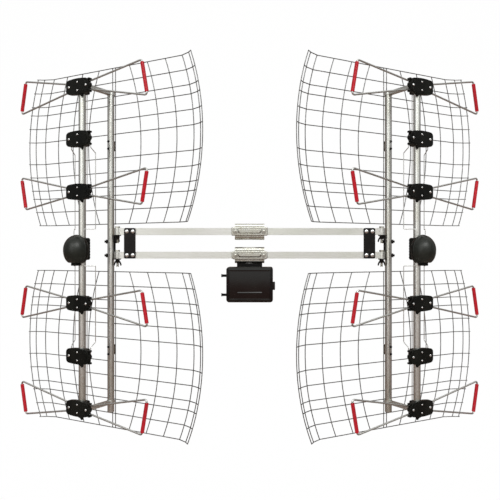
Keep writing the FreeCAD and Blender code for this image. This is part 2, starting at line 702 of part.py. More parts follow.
def make_crossbars():
    for label, z in (("upper", "bar_z"), ("lower", "-bar_z")):
        outer = box(label + "_bar_outer", "bar_half * 2", "bar_deep", "bar_tall", z=z)
        inner = box(label + "_bar_inner", "bar_half * 2", "bar_deep - bar_wall * 2",
                    "bar_tall - bar_wall * 2", z=z)
        legs = [rod(label + "_leg_hole", "bolt_d / 2 + 0.3", "bar_deep + 2", x, "0", z, "y")
                for x in ("leg_x", "-leg_x")]
        subpart(cut(label + "_crossbar", outer, [inner] + legs), label + "_crossbar")


def end_arm(name, z):
    """Arm that slides into the bar's end and carries the hinge bolt in its round lug."""
    middle = "-(bar_half + hinge_x) / 2 - gap / 2"
    arm = box(name + "_arm", "hinge_x - bar_half - gap", "bar_deep", "bar_tall", middle, "0", z)
    lug = rod(name + "_lug", "lug_r", "bar_tall", "-hinge_x", "0", z)
    spigot = box(name + "_spigot", "24", "bar_deep - bar_wall * 2 - gap * 2",
                 "bar_tall - bar_wall * 2 - gap * 2", "-bar_half + 10", "0", z)
    holes = [rod(name + "_hinge_hole", "bolt_d / 2 + slack", "bar_tall + 2", "-hinge_x", "0", z)]
    holes += [rod(name + "_plate_hole", "bolt_d / 2 + slack", "bar_deep + 2", x, "0", z, "y")
              for x in ("-plate_x - plate_hole_x", "-plate_x + plate_hole_x")]
    return cut(name, fuse(name + "_body", [arm, lug, spigot]), holes)


def make_end_arms():
    left = group("left_arms", [end_arm("arm_upper", "bar_z"), end_arm("arm_lower", "-bar_z")])
    subpart(group("end_arms", [left, mirror("right_arms", left, RIGHT)]), "end_arms")


def make_joining_plates():
    body = doc.addObject("PartDesign::Body", "joining_plate")
    outline = new_sketch(body, "plate_outline", "XZ_Plane")
    sketch_rectangle(outline, "plate_wide", "plate_tall")
    plate = pad(body, outline, "plate_thick", "plate_pad")
    doc.recompute()
    rounding = body.newObject("PartDesign::Fillet", "plate_corners")
    rounding.Base = (plate, edges_of(plate, lambda edge: runs_along(edge, BACK)))
    bind(rounding, Radius="plate_round")
    doc.recompute()
    holes = new_sketch(body, "plate_holes", "XZ_Plane")
    for x in ("plate_hole_x", "-plate_hole_x"):
        for z in ("bar_z", "-bar_z"):
            sketch_circle(holes, "bolt_d / 2 + slack", x, z)
    pocket(body, holes, "", "plate_bores", through=True)
    doc.recompute()
    bind(body, Placement__Base__x="-plate_x", Placement__Base__y="-bar_deep / 2 - gap")
    right = mirror("right_plate", body, RIGHT)
    subpart(group("joining_plates", [body, right]), "joining_plates")


def make_carriage_bolts():
    bolts, nuts = [], []
    face = "-bar_deep / 2 - plate_thick - gap * 2"
    for side in ("-", "+"):
        for step in ("-", "+"):
            for z in ("bar_z", "-bar_z"):
                x = "0 %s plate_x %s plate_hole_x" % (side, step)
                shank = rod("carriage_shank", "bolt_d / 2", "24", x, face + " + 12", z, "y")
                ball = doc.addObject("Part::Sphere", "carriage_ball")
                bind(ball, Radius="dome_head_r * 1.3")
                bind(ball, Placement__Base__x=x, Placement__Base__z=z)
                bind(ball, Placement__Base__y=face + " + dome_head_r * 0.83")
                slab = rod("carriage_slab", "dome_head_r", "3", x, face + " - 1.5", z, "y")
                bolts.append(fuse("carriage_bolt", [shank, common("carriage_dome", ball, slab)]))
                nuts.append(nut("carriage_nut", x, "bar_deep / 2 + gap + 2.5", z, "y"))
    subpart(group("carriage_bolts", bolts), "carriage_bolts")
    for x in ("leg_x", "-leg_x"):
        for z in ("bar_z", "-bar_z"):
            nuts.append(nut("clamp_nut", x, "-bar_deep / 2 - gap * 2 - jaw_thick - 2.5", z, "y"))
    subpart(group("hex_nuts", nuts), "hex_nuts")


def nut(name, x, y, z, axis):
    body = hexagon(name + "_hex", "10", "5", x, y, z, axis)
    return cut(name, body, [rod(name + "_bore", "bolt_d / 2 + slack", "7", x, y, z, axis)])


# top of each wing nut, name and whether its wings are turned edge-on
WING_NUTS = (("upper", "bar_z - bar_tall / 2 - gap * 2 - flange_thick", 75),
             ("lower", "-bar_z - bar_tall / 2 - gap * 2 - flange_thick", 0))


def wing_nut(name, top, turn):
    """A wing nut hanging under a bracket flange, wings pointing down and out."""
    hub = doc.addObject("Part::Cone", name + "_hub")
    bind(hub, Radius1="4.2", Radius2="5.2", Height="7")
    bind(hub, Placement__Base__x="-hinge_x", Placement__Base__z=top + " - gap - 7")
    outline = [V(2.5, 0, -1.5), V(5.0, 0, -2.5), V(9.4, 0, -11), V(9.2, 0, -13.6), V(6.6, 0, -14.4),
               V(4.0, 0, -7), V(2.5, 0, -6.5)]
    wing = Part.Face(Part.makePolygon(outline + outline[:1])).extrude(V(0, 2.4, 0))
    wing.translate(V(0, -1.2, 0))
    other = wing.copy()
    other.rotate(V(), UP, 180)
    wings = fixed(name + "_wings", Part.makeCompound([wing, other]))
    wings.Placement = FreeCAD.Placement(V(), FreeCAD.Rotation(UP, turn))
    bind(wings, Placement__Base__x="-hinge_x", Placement__Base__z=top + " - gap")
    bore = rod(name + "_bore", "bolt_d / 2 + slack", "20", "-hinge_x", "0", top + " - gap - 5")
    return cut(name, fuse(name + "_body", [hub, wings]), [bore])


def make_hinge_hardware():
    bolts = []
    for label, top, turn in WING_NUTS:
        z = "bar_z" if label == "upper" else "-bar_z"
        head_z = z + " + bar_tall / 2 + gap + 2"
        shank = rod("hinge_shank", "bolt_d / 2", "36.5", "-hinge_x", "0",
                    z + " + bar_tall / 2 + 1 - 18.25")
        head = hexagon("hinge_head", "10", "4", "-hinge_x", "0", head_z)
        bolts.append(fuse(label + "_hinge_bolt", [shank, head]))
        left = subpart(wing_nut("left_%s_wing_nut" % label, top, turn),
                       "left_%s_wing_nut" % label)
        subpart(mirror("right_%s_wing_nut" % label, left, RIGHT), "right_%s_wing_nut" % label)
    left = group("left_hinge_bolts", bolts)
    subpart(group("hinge_bolts", [left, mirror("right_hinge_bolts", left, RIGHT)]), "hinge_bolts")


# ---------------------------------------------------------------- pole clamps

def make_clamp_jaws():
    """Front jaw: a shallow channel with a long pressed-out boss between the U-bolt's legs."""
    body = doc.addObject("PartDesign::Body", "clamp_jaw")
    outline = new_sketch(body, "jaw_outline", "XZ_Plane")
    sketch_rectangle(outline, "jaw_wide", "jaw_tall")
    web = pad(body, outline, "jaw_thick", "jaw_pad")
    doc.recompute()
    rounding = body.newObject("PartDesign::Fillet", "jaw_corners")
    rounding.Base = (web, edges_of(web, lambda edge: runs_along(edge, BACK)))
    rounding.Radius = 4
    doc.recompute()
    holes = new_sketch(body, "jaw_holes", "XZ_Plane")
    for x in ("leg_x", "-leg_x"):
        sketch_circle(holes, "bolt_d / 2 + slack", x)
    pocket(body, holes, "", "jaw_bores", through=True)
    doc.recompute()
    front, deep, slope = size("-jaw_thick"), size("boss_deep"), size("boss_slope")

    def ring(shrink, y):
        w, t = size("boss_wide / 2") - shrink, size("boss_tall / 2") - shrink / 2
        corners = [V(-w, y, t), V(w, y, t), V(w - slope, y, -t), V(-w + slope, y, -t)]
        return Part.makePolygon(corners + corners[:1])

    boss = fixed("jaw_boss", Part.makeLoft([ring(0, front + 0.2), ring(1.8, front - deep)], True))
    lips = [box("jaw_lip", "jaw_wide - 10", "4.5", "1.6", "0", "1.75", z)
            for z in ("jaw_tall / 2 - 0.8", "-jaw_tall / 2 + 0.8")]
    jaw = fuse("jaw", [body, boss] + lips)
    pair = [copy_at(label + "_jaw", jaw, y="-bar_deep / 2 - gap", z=z)
            for label, z in (("upper", "bar_z"), ("lower", "-bar_z"))]
    subpart(group("clamp_jaws", pair), "clamp_jaws")


def make_saddles():
    """Rear saddle: a channel whose two flanges are notched to seat the pole."""
    front = "bar_deep / 2 + gap"
    web = box("saddle_web", "saddle_wide", "saddle_thick", "saddle_tall", "0",
              front + " + saddle_thick / 2")
    flanges = [box("saddle_flange", "saddle_wide", "saddle_deep", "saddle_thick", "0",
                   front + " + saddle_thick + saddle_deep / 2", z)
               for z in ("saddle_tall / 2 - saddle_thick / 2", "-saddle_tall / 2 + saddle_thick / 2")]
    cuts = [rod("pole_notch", "pole_r", "saddle_tall + 2", "0", "pole_y")]
    cuts += [rod("leg_notch", "bolt_d / 2 + 0.3", "12", x, front, "0", "y")
             for x in ("leg_x", "-leg_x")]
    saddle = cut("saddle", fuse("saddle_body", [web] + flanges), cuts)
    pair = [copy_at(label + "_saddle", saddle, z=z)
            for label, z in (("upper", "bar_z"), ("lower", "-bar_z"))]
    subpart(group("pole_saddles", pair), "pole_saddles")


def make_u_bolts():
    """Each U-bolt passes behind the pole; its threaded legs end in front of the jaw."""
    for label, z in (("upper", "bar_z"), ("lower", "-bar_z")):
        crown_y = "pole_y + pole_r + 0.4 - leg_x + bolt_d / 2"
        crown = doc.addObject("Part::Torus", label + "_crown")
        bind(crown, Radius1="leg_x", Radius2="bolt_d / 2", Angle3="180")
        bind(crown, Placement__Base__y=crown_y, Placement__Base__z=z)
        length = "%s + bar_deep / 2 + jaw_thick + 17" % crown_y
        legs = [rod(label + "_leg", "bolt_d / 2", length, x,
                    "%s - (%s) / 2" % (crown_y, length), z, "y") for x in ("leg_x", "-leg_x")]
        subpart(fuse(label + "_u_bolt", [crown] + legs), label + "_u_bolt")


# ---------------------------------------------------------------- combiner box

def make_combiner_bracket():
    top = "-bar_z - saddle_tall / 2 - gap"
    strap = box("strap", "neck_wide", "2.2", "70", "0", "box_back + gap + 1.1", top + " - 35")
    tab = box("strap_tab", "neck_wide", "15.8", "2.2", "0", "box_back + gap + 7.9", top + " - 1.1")
    notch = rod("strap_notch", "pole_r + 0.3", "8", "0", "pole_y", top)
    rib = box("strap_rib", "neck_wide - 6", "3.2", "2.5", "0", "box_back + gap - 1.5", "-50")
    subpart(cut("combiner_bracket", fuse("strap_body", [strap, tab, rib]), [notch]),
            "combiner_bracket")


BOX_TALL = "box_top - box_low"
BOX_MID = "box_top / 2 + box_low / 2"
LATCH_Z = "box_top / 2 + box_low / 2 - 3"
KNUCKLES = ((-68, "base"), (-82, "lid"), (-97, "base"), (-112, "lid"), (-126, "base"))
HINGE_Y = "box_split - seal_thick / 2"


def knuckle(owner, z, x, y):
    return rod(owner + "_knuckle", "knuckle_r", "13.6", x, y, str(z))


def make_combiner():
    hinge_x = "-box_wide / 2 + knuckle_r + 0.2"
    # base tub, open to the front
    body = doc.addObject("PartDesign::Body", "base_tub")
    outline = new_sketch(body, "tub_outline", "XZ_Plane")
    sketch_rectangle(outline, "box_wide - box_step", BOX_TALL, "box_step / 2", BOX_MID)
    tub = pad(body, outline, "box_back - box_split", "tub_pad")
    doc.recompute()
    rounding = body.newObject("PartDesign::Fillet", "tub_corners")
    rounding.Base = (tub, edges_of(tub, lambda edge: runs_along(edge, BACK)))
    rounding.Radius = 4
    doc.recompute()
    bind(body, Placement__Base__y="box_back")
    hollow = box("tub_hollow", "box_wide - box_step - box_wall * 2", "box_back - box_split",
                 BOX_TALL + " - box_wall * 2", "box_step / 2",
                 "(box_back + box_split) / 2 - box_wall", BOX_MID)
    posts = [rod("tub_post", "3", "9", x, "box_back - box_wall - 4", z, "y")
             for x in ("40", "-40") for z in ("box_top - 14", "box_low + 14")]
    shell = cut("tub_shell", body, [hollow])
    knuckles = [knuckle(owner, z, hinge_x, HINGE_Y) for z, owner in KNUCKLES]
    base_knuckles = [k for k, (_, owner) in zip(knuckles, KNUCKLES) if owner == "base"]
    lid_knuckles = [k for k, (_, owner) in zip(knuckles, KNUCKLES) if owner == "lid"]
    catch = box("latch_catch", "1.6", "3", "16", "box_wide / 2 + 0.8", "box_split + 8", LATCH_Z)
    pin_hole = rod("pin_hole", "0.9 + slack", "80", hinge_x, HINGE_Y, BOX_MID)
    port_holes = [rod("port_hole", "port_neck_r + gap", "16", "-box_wide / 2", "port_y", z, "x")
                  for z in ("port_z_top", "port_z_low")]
    port_holes.append(rod("rear_port_hole", "rear_neck_r + gap", "8", "rear_port_x", "box_back",
                          "box_low + rear_port_rise", "y"))
    tub_solid = fuse("tub_solid", [shell] + posts + base_knuckles + [catch])
    lid_sweep = [rod("lid_clear", "knuckle_r + 0.35", "14.2", hinge_x, HINGE_Y, str(z))
                 for z, owner in KNUCKLES if owner == "lid"]
    subpart(cut("combiner_base", tub_solid, [pin_hole] + port_holes + lid_sweep), "combiner_base")
    # lid with a broad bevel round its front face
    front_y = "box_split - seal_thick - lid_deep"
    lid = box("lid_block", "box_wide", "lid_deep", BOX_TALL, "0",
              "box_split - seal_thick - lid_deep / 2", BOX_MID)
    lid = rounded("lid_corners", lid, size("lid_round"), lambda edge: runs_along(edge, BACK))
    bevel = doc.addObject("Part::Chamfer", "lid_bevel_cut")
    bevel.Base = lid
    doc.recompute()
    face_y, reach = size(front_y), size("lid_bevel")
    bevel.Edges = [(i, reach, reach) for i, edge in enumerate(lid.Shape.Edges, start=1)
                   if abs(edge.CenterOfMass.y - face_y) < 1e-6]
    lid_hollow = box("lid_hollow", "box_wide - box_wall * 2 - 2", "lid_deep - box_wall - 5",
                     BOX_TALL + " - box_wall * 2 - 2", "0",
                     "box_split - seal_thick - (lid_deep - box_wall - 5) / 2", BOX_MID)
    rail = box("lid_rail", "56", "1.2", "1.6", "0", front_y + " - 0.4", "box_low + 23")
    tab = box("latch_tab", "3", "17", "19", "box_wide / 2 + 3.6", "box_split - 1", LATCH_Z)
    neck = box("latch_neck", "4", "5", "19", "box_wide / 2 + 1.9", "box_split - 7", LATCH_Z)
    lid_body = fuse("lid_body", [cut("lid_shell", bevel, [lid_hollow]), rail, tab, neck]
                    + lid_knuckles)
    base_sweep = [rod("base_clear", "knuckle_r + 0.35", "14.2", hinge_x, HINGE_Y, str(z))
                  for z, owner in KNUCKLES if owner == "base"]
    subpart(cut("combiner_lid", lid_body, [pin_hole] + base_sweep), "combiner_lid")
    subpart(rod("lid_hinge_pin", "0.9", "72", hinge_x, HINGE_Y, BOX_MID), "lid_hinge_pin")
    # seal, board and ports
    seal_y = "box_split - seal_thick / 2"
    seal_out = box("seal_out", "box_wide - 6", "seal_thick - gap * 2", BOX_TALL + " - 1", "1.9",
                   seal_y, BOX_MID)
    seal_in = box("seal_in", "box_wide - 10", "seal_thick + 2", BOX_TALL + " - 5", "1.9", seal_y,
                  BOX_MID)
    subpart(cut("lid_seal", seal_out, [seal_in]), "lid_seal")
    board = box("combiner_plate", "92", "1.6", "66", "0", "box_back - box_wall - 9.4", BOX_MID)
    cores = [box("combiner_core", "14", "7", "14", x, "box_back - box_wall - 13.5", BOX_MID)
             for x in ("-20", "20")]
    can = box("combiner_can", "18", "5", "24", "0", "box_back - box_wall - 12.5", BOX_MID)
    clear = rod("board_rear_clear", "rear_neck_r + 1.2", "20", "rear_port_x", "box_back - 8",
                "box_low + rear_port_rise", "y")
    subpart(cut("combiner_board", fuse("board_body", [board, can] + cores), [clear]),
            "combiner_board")
    make_ports()


def make_ports():
    """Two weather-booted ports on the left side and a threaded output at the back."""
    solids = []
    wall = "-box_wide / 2 + box_step + box_wall"
    for z in ("port_z_top", "port_z_low"):
        collar = rod("port_collar", "port_neck_r + 1.4", "1.2", wall + " + gap + 0.6", "port_y", z,
                     "x")
        neck = rod("port_neck", "port_neck_r", "16", wall + " - 7.2", "port_y", z, "x")
        flare = doc.addObject("Part::Cone", "port_flare")
        bind(flare, Radius1="port_neck_r", Radius2="port_neck_r + 0.9", Height="4.5")
        flare.Placement = FreeCAD.Placement(V(), FreeCAD.Rotation(BACK, -90))
        bind(flare, Placement__Base__x="-port_reach + 4.5", Placement__Base__y="port_y")
        bind(flare, Placement__Base__z=z)
        solids.append(fuse("port", [collar, neck, flare]))
    rear = {"neck": ("rear_neck_r", "5", "box_back - 1.5"),
            "flange": ("jack_r + 1.7", "1.5", "box_back + gap + 0.75"),
            "nose": ("jack_r", "10", "box_back + gap + 6.5")}
    solids.append(fuse("rear_port", [rod("rear_" + name, radius, length, "rear_port_x", y,
                                         "box_low + rear_port_rise", "y")
                                     for name, (radius, length, y) in rear.items()]))
    subpart(group("combiner_ports", solids), "combiner_ports")


# ---------------------------------------------------------------- build and export

def build():
    make_tubes()
    make_standoff_arms()
    make_mast_bracket()
    make_reflectors()
    make_reflector_clips()
    make_blocks()
    make_elements()
    make_feed_lines()
    make_balun()
    make_crossbars()
    make_end_arms()
    make_joining_plates()
    make_carriage_bolts()
    make_hinge_hardware()
    make_clamp_jaws()
    make_saddles()
    make_u_bolts()
    make_combiner_bracket()
    make_combiner()
    doc.recompute()


def export():
    for obj in doc.Objects:
        if "Invalid" in obj.State or "Error" in obj.State:
            raise RuntimeError("%s (%s) failed: %s" % (obj.Name, obj.Label, obj.State))
    for obj in SUBPARTS:
        if obj.Shape.isNull() or not obj.Shape.isValid():
            raise RuntimeError("%s has a null or invalid shape" % obj.Label)
        if not obj.Shape.Solids:
            raise RuntimeError("%s holds no solid" % obj.Label)
    os.makedirs("parts", exist_ok=True)
    for obj in SUBPARTS:
        obj.Shape.exportStep("parts/%s.step" % obj.Label)
    print("%d sub-parts written" % len(SUBPARTS))


build()
export()
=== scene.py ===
import json
import math

import bmesh
import bpy
from mathutils import Matrix, Vector


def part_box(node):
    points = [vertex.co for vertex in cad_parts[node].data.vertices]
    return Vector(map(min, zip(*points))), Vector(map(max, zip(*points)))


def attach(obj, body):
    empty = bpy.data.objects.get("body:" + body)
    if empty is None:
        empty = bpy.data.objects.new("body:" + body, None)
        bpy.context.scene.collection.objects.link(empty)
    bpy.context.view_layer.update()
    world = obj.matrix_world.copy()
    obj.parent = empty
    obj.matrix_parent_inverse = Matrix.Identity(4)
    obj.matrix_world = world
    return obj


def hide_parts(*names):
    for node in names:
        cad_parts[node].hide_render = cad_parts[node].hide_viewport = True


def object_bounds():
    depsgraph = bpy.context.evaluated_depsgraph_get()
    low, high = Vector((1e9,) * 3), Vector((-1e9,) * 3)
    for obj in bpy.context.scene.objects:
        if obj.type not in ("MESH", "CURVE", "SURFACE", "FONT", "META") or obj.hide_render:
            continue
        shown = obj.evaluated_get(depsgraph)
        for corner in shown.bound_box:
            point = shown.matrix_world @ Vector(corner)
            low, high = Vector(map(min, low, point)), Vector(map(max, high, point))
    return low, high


# The looks of an eight-bay bow-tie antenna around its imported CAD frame. Metres, +Z up, front at -Y.
# Panel places below are (inward, back, up) from the axis of a panel's rear tube.

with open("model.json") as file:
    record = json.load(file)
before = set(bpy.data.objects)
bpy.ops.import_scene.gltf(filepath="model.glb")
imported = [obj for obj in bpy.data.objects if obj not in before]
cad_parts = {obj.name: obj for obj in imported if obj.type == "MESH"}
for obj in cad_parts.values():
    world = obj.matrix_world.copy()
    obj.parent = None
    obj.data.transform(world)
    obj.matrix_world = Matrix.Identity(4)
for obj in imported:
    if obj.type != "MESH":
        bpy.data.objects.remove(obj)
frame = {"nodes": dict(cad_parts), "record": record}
NODES = frame["nodes"]
RECORD = frame["record"]
cad_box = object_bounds()

MM = 0.001
SIDES = ("left", "right")
SLOT_OF = {entry["node"]: entry["material_slot"] for entry in RECORD["subparts"]}


# ---------------------------------------------------------------- places taken from the frame

def middle(node):
    low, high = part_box(node)
    return (low + high) / 2


def panel_matrix(side):
    """From a panel's own (inward, back, up) to the frame, by the places of its two tubes."""
    rear, front = middle(side + "_mast_tube"), middle(side + "_boom")
    back = Vector((rear.x - front.x, rear.y - front.y, 0)).normalized()
    inward = Vector((back.y, -back.x, 0))
    if inward.x * rear.x > 0:
        inward.negate()
    turn = Matrix((inward, back, Vector((0, 0, 1)))).transposed().to_4x4()
    return Matrix.Translation((rear.x, rear.y, 0)) @ turn


# ---------------------------------------------------------------- material nodes

def connect(tree, node, inputs):
    """Give a node's inputs their values, or links where the values are sockets."""
    for key, value in inputs.items():
        if isinstance(value, bpy.types.NodeSocket):
            tree.links.new(value, node.inputs[key])
        else:
            node.inputs[key].default_value = value


def add(tree, kind, inputs=None, **settings):
    made = tree.nodes.new(kind)
    for key, value in settings.items():
        setattr(made, key, value)
    connect(tree, made, inputs or {})
    return made


def mixed(tree, factor, first, second, blend="MIX"):
    factor_in, first_in, second_in, colour_out = 0, 6, 7, 2
    made = add(tree, "ShaderNodeMix", {factor_in: factor, first_in: first, second_in: second},
               data_type="RGBA", blend_type=blend)
    return made.outputs[colour_out]


def ramp(tree, value, stops):
    """Greys or colours by value; stops are (position, shade) pairs."""
    made = add(tree, "ShaderNodeValToRGB", {"Fac": value})
    elements = made.color_ramp.elements
    while len(elements) < len(stops):
        elements.new(0.5)
    for element, (position, shade) in zip(elements, stops):
        element.position = position
        element.color = (shade, shade, shade, 1) if isinstance(shade, (int, float)) else shade
    return made.outputs["Color"]


def rescaled(tree, value, low, high, start=0.0, end=1.0):
    """The value's range start to end, taken to low to high."""
    made = add(tree, "ShaderNodeMapRange", {"Value": value, "From Min": start, "From Max": end,
                                           "To Min": low, "To Max": high})
    return made.outputs["Result"]


def noise(tree, scale, detail=4.0, roughness=0.55, stretch=(1, 1, 1)):
    """Noise over the object's own place; scale is in cycles per metre."""
    place = add(tree, "ShaderNodeTexCoord").outputs["Object"]
    stretched = add(tree, "ShaderNodeMapping", {"Vector": place, "Scale": stretch})
    made = add(tree, "ShaderNodeTexNoise", {"Vector": stretched.outputs["Vector"], "Scale": scale,
                                           "Detail": detail, "Roughness": roughness})
    return made.outputs["Fac"]


def bumped(tree, height, strength, distance, normal=None):
    inputs = {"Height": height, "Strength": strength, "Distance": distance}
    if normal:
        inputs["Normal"] = normal
    return add(tree, "ShaderNodeBump", inputs).outputs["Normal"]


def new_material(name):
    material = bpy.data.materials.new(name)
    material.use_nodes = True
    tree = material.node_tree
    return material, tree, tree.nodes["Principled BSDF"]


def rgb(red, green, blue):
    return (red, green, blue, 1)


# ---------------------------------------------------------------- metals

def metal(name, light, dark, rough, grain=(1, 1, 1), grain_scale=600, rim=0.45, tarnish=None,
          tarnish_scale=18, relief=0.15):
    """Drawn or rolled metal: grain lines, uneven tarnish, fine scratches, and painted shade that
    darkens the colour towards the silhouette, down to rim at grazing angles.
    """
    material, tree, shader = new_material(name)
    lines = noise(tree, grain_scale, 6, 0.65, grain)
    patches = noise(tree, tarnish_scale, 5, 0.6)
    colour = mixed(tree, rescaled(tree, lines, 0, 1, 0.3, 0.7), dark, light)
    if tarnish:
        spread = ramp(tree, patches, [(0.42, 0), (0.72, 1)])
        colour = mixed(tree, spread, colour, tarnish)
    scratches = ramp(tree, noise(tree, grain_scale * 0.8, 2, 0.5, tuple(g * 0.4 for g in grain)),
                     [(0.62, 0), (0.66, 1)])
    colour = mixed(tree, rescaled(tree, scratches, 0, 0.25), colour, rgb(0.9, 0.9, 0.88))
    # Painted shade: the colour is multiplied down towards rim where the surface turns away from the
    # view, darkest at the silhouette.
    painted_shade_facing = add(tree, "ShaderNodeLayerWeight", {"Blend": 0.5}).outputs["Facing"]
    edge = ramp(tree, painted_shade_facing, [(0.0, 1), (0.45, 0.97), (0.85, rim)])
    colour = mixed(tree, 1.0, colour, edge, "MULTIPLY")
    normal = bumped(tree, lines, relief, 0.0002)
    connect(tree, shader, {
        "Base Color": colour, "Metallic": 1.0, "Normal": normal,
        "Roughness": rescaled(tree, mixed(tree, 0.5, lines, patches), rough - 0.07, rough + 0.12)})
    return material


# rim in the materials below sets how dark the painted shade at each silhouette is.
def tube_aluminium():
    return metal("tube_aluminium", rgb(0.86, 0.87, 0.85), rgb(0.72, 0.72, 0.69), 0.30,
                 grain=(1, 1, 0.012), grain_scale=700, rim=0.26,
                 tarnish=rgb(0.62, 0.61, 0.54), tarnish_scale=9, relief=0.04)


def bar_aluminium():
    return metal("bar_aluminium", rgb(0.86, 0.86, 0.84), rgb(0.74, 0.75, 0.72), 0.38,
                 grain=(0.012, 1, 1), grain_scale=900, rim=0.75,
                 tarnish=rgb(0.74, 0.76, 0.70), tarnish_scale=14)


def rod_aluminium():
    return metal("rod_aluminium", rgb(0.78, 0.78, 0.76), rgb(0.60, 0.60, 0.58), 0.33,
                 grain=(0.3, 1, 1), grain_scale=700, rim=0.30,
                 tarnish=rgb(0.58, 0.57, 0.54), tarnish_scale=30, relief=0.05)


def grid_wire():
    return metal("grid_wire", rgb(0.40, 0.40, 0.40), rgb(0.16, 0.16, 0.16), 0.52,
                 grain_scale=500, rim=0.5, tarnish=rgb(0.13, 0.13, 0.125), tarnish_scale=45,
                 relief=0.4)


def chrome_steel():
    return metal("chrome_steel", rgb(0.90, 0.90, 0.90), rgb(0.80, 0.80, 0.80), 0.14,
                 grain_scale=1500, rim=0.7, relief=0.04)


def zinc_steel():
    return metal("zinc_steel", rgb(0.70, 0.70, 0.66), rgb(0.58, 0.57, 0.52), 0.24,
                 grain_scale=900, rim=0.26, tarnish=rgb(0.56, 0.54, 0.46), tarnish_scale=60,
                 relief=0.02)


def tinned_wire():
    return metal("tinned_wire", rgb(0.82, 0.82, 0.80), rgb(0.62, 0.62, 0.60), 0.25,
                 grain=(1, 1, 0.05), grain_scale=900, rim=0.5)


def nickel_brass():
    return metal("nickel_brass", rgb(0.74, 0.70, 0.58), rgb(0.56, 0.50, 0.36), 0.27,
                 grain_scale=800, rim=0.5)


def black_steel():
    """Black passivated steel that shows brown where it has rubbed."""
    material, tree, shader = new_material("black_steel")
    worn = ramp(tree, noise(tree, 120, 8, 0.7), [(0.55, 0), (0.75, 1)])
    colour = mixed(tree, rescaled(tree, worn, 0, 0.8), rgb(0.008, 0.007, 0.007),
                   rgb(0.035, 0.024, 0.018))
    fine = noise(tree, 2600, 3)
    connect(tree, shader, {
        "Base Color": colour, "Metallic": 0.35, "Normal": bumped(tree, fine, 0.12, 0.0001),
        "Roughness": rescaled(tree, worn, 0.30, 0.48), "Specular IOR Level": 0.25})
    return material


# ---------------------------------------------------------------- plastics, rubber and board

def plastic(name, colour, scuffed, rough, grain, relief, shine=0.2, spread=1.0):
    """Moulded plastic: fine skin texture, flow marks and light scuffs."""
    material, tree, shader = new_material(name)
    flow = noise(tree, 35, 3, 0.5, (1, 1, 0.35))
    scuffs = ramp(tree, noise(tree, 260, 10, 0.75), [(0.60, 0), (0.72, 1)])
    base = mixed(tree, rescaled(tree, flow, 0, 1, 0.3, 0.7), colour, scuffed)
    base = mixed(tree, rescaled(tree, scuffs, 0, 0.5), base, scuffed)
    skin = noise(tree, grain, 3)
    normal = bumped(tree, skin, relief, 0.0001)
    normal = bumped(tree, flow, 0.06, 0.001, normal)
    connect(tree, shader, {
        "Base Color": base, "Normal": normal, "Specular IOR Level": shine,
        "Roughness": rescaled(tree, mixed(tree, 0.5, flow, scuffs), rough - 0.04 * spread,
                              rough + 0.12 * spread)})
    return material


def black_plastic():
    return plastic("black_plastic", rgb(0.0035, 0.0035, 0.003), rgb(0.010, 0.010, 0.008), 0.34,
                   1600, 0.22, shine=0.14)


def satin_black():
    return plastic("satin_black", rgb(0.006, 0.007, 0.005), rgb(0.012, 0.014, 0.010), 0.36,
                   2200, 0.06, shine=0.42, spread=0.6)


def gloss_black():
    return plastic("gloss_black", rgb(0.0025, 0.0015, 0.0015), rgb(0.005, 0.0035, 0.003), 0.07,
                   900, 0.004, shine=0.45, spread=0.12)


def red_plastic():
    return plastic("red_plastic", rgb(0.52, 0.004, 0.016), rgb(0.42, 0.004, 0.013), 0.38,
                   1200, 0.06, shine=0.3)


def port_rubber():
    return plastic("port_rubber", rgb(0.003, 0.003, 0.003), rgb(0.008, 0.008, 0.008), 0.5,
                   1800, 0.3, shine=0.1)


def seal_rubber():
    return plastic("seal_rubber", rgb(0.02, 0.02, 0.02), rgb(0.045, 0.045, 0.045), 0.7, 1500, 0.35)


def circuit_board():
    """Green solder mask over copper tracks, with the glass weave showing through."""
    material, tree, shader = new_material("circuit_board")
    place = add(tree, "ShaderNodeTexCoord").outputs["Object"]
    turned = add(tree, "ShaderNodeMapping", {"Vector": place, "Rotation": (math.pi / 2, 0, 0)})
    tracks = add(tree, "ShaderNodeTexBrick", {
        "Vector": turned.outputs["Vector"], "Scale": 1.0, "Mortar Size": 0.0007,
        "Brick Width": 0.011, "Row Height": 0.005, "Color1": rgb(0, 0, 0), "Color2": rgb(0, 0, 0),
        "Mortar": rgb(1, 1, 1)}).outputs["Color"]
    weave = noise(tree, 2400, 2)
    base = mixed(tree, tracks, rgb(0.012, 0.075, 0.026), rgb(0.03, 0.16, 0.05))
    base = mixed(tree, rescaled(tree, weave, 0, 0.4), base, rgb(0.02, 0.11, 0.04))
    connect(tree, shader, {"Base Color": base, "Roughness": rescaled(tree, weave, 0.25, 0.4),
                           "Normal": bumped(tree, tracks, 0.3, 0.0002), "Coat Weight": 0.4})
    return material


MATERIALS = {
    "tube_aluminium": tube_aluminium(), "bar_aluminium": bar_aluminium(),
    "rod_aluminium": rod_aluminium(), "grid_wire": grid_wire(), "black_plastic": black_plastic(),
    "satin_black": satin_black(), "gloss_black": gloss_black(), "red_plastic": red_plastic(),
    "chrome_steel": chrome_steel(), "zinc_steel": zinc_steel(), "black_steel": black_steel(),
    "tinned_wire": tinned_wire(), "nickel_brass": nickel_brass(), "port_rubber": port_rubber(),
    "seal_rubber": seal_rubber(), "circuit_board": circuit_board(),
}


def paint(obj, slot):
    obj.data.materials.clear()
    obj.data.materials.append(MATERIALS[slot])


for node, obj in NODES.items():
    paint(obj, SLOT_OF[node])


# ---------------------------------------------------------------- rounded edges on CAD nodes

WELD_REACH = 2e-6
FLAT_ANGLE, HARD_ANGLE = math.radians(0.5), math.radians(35)
SLEEVE_SWELL = 0.6                   # the photographed sleeves are thicker than the CAD ones


def even_normals(obj):
    obj.modifiers.new("normals", "WEIGHTED_NORMAL").keep_sharp = True


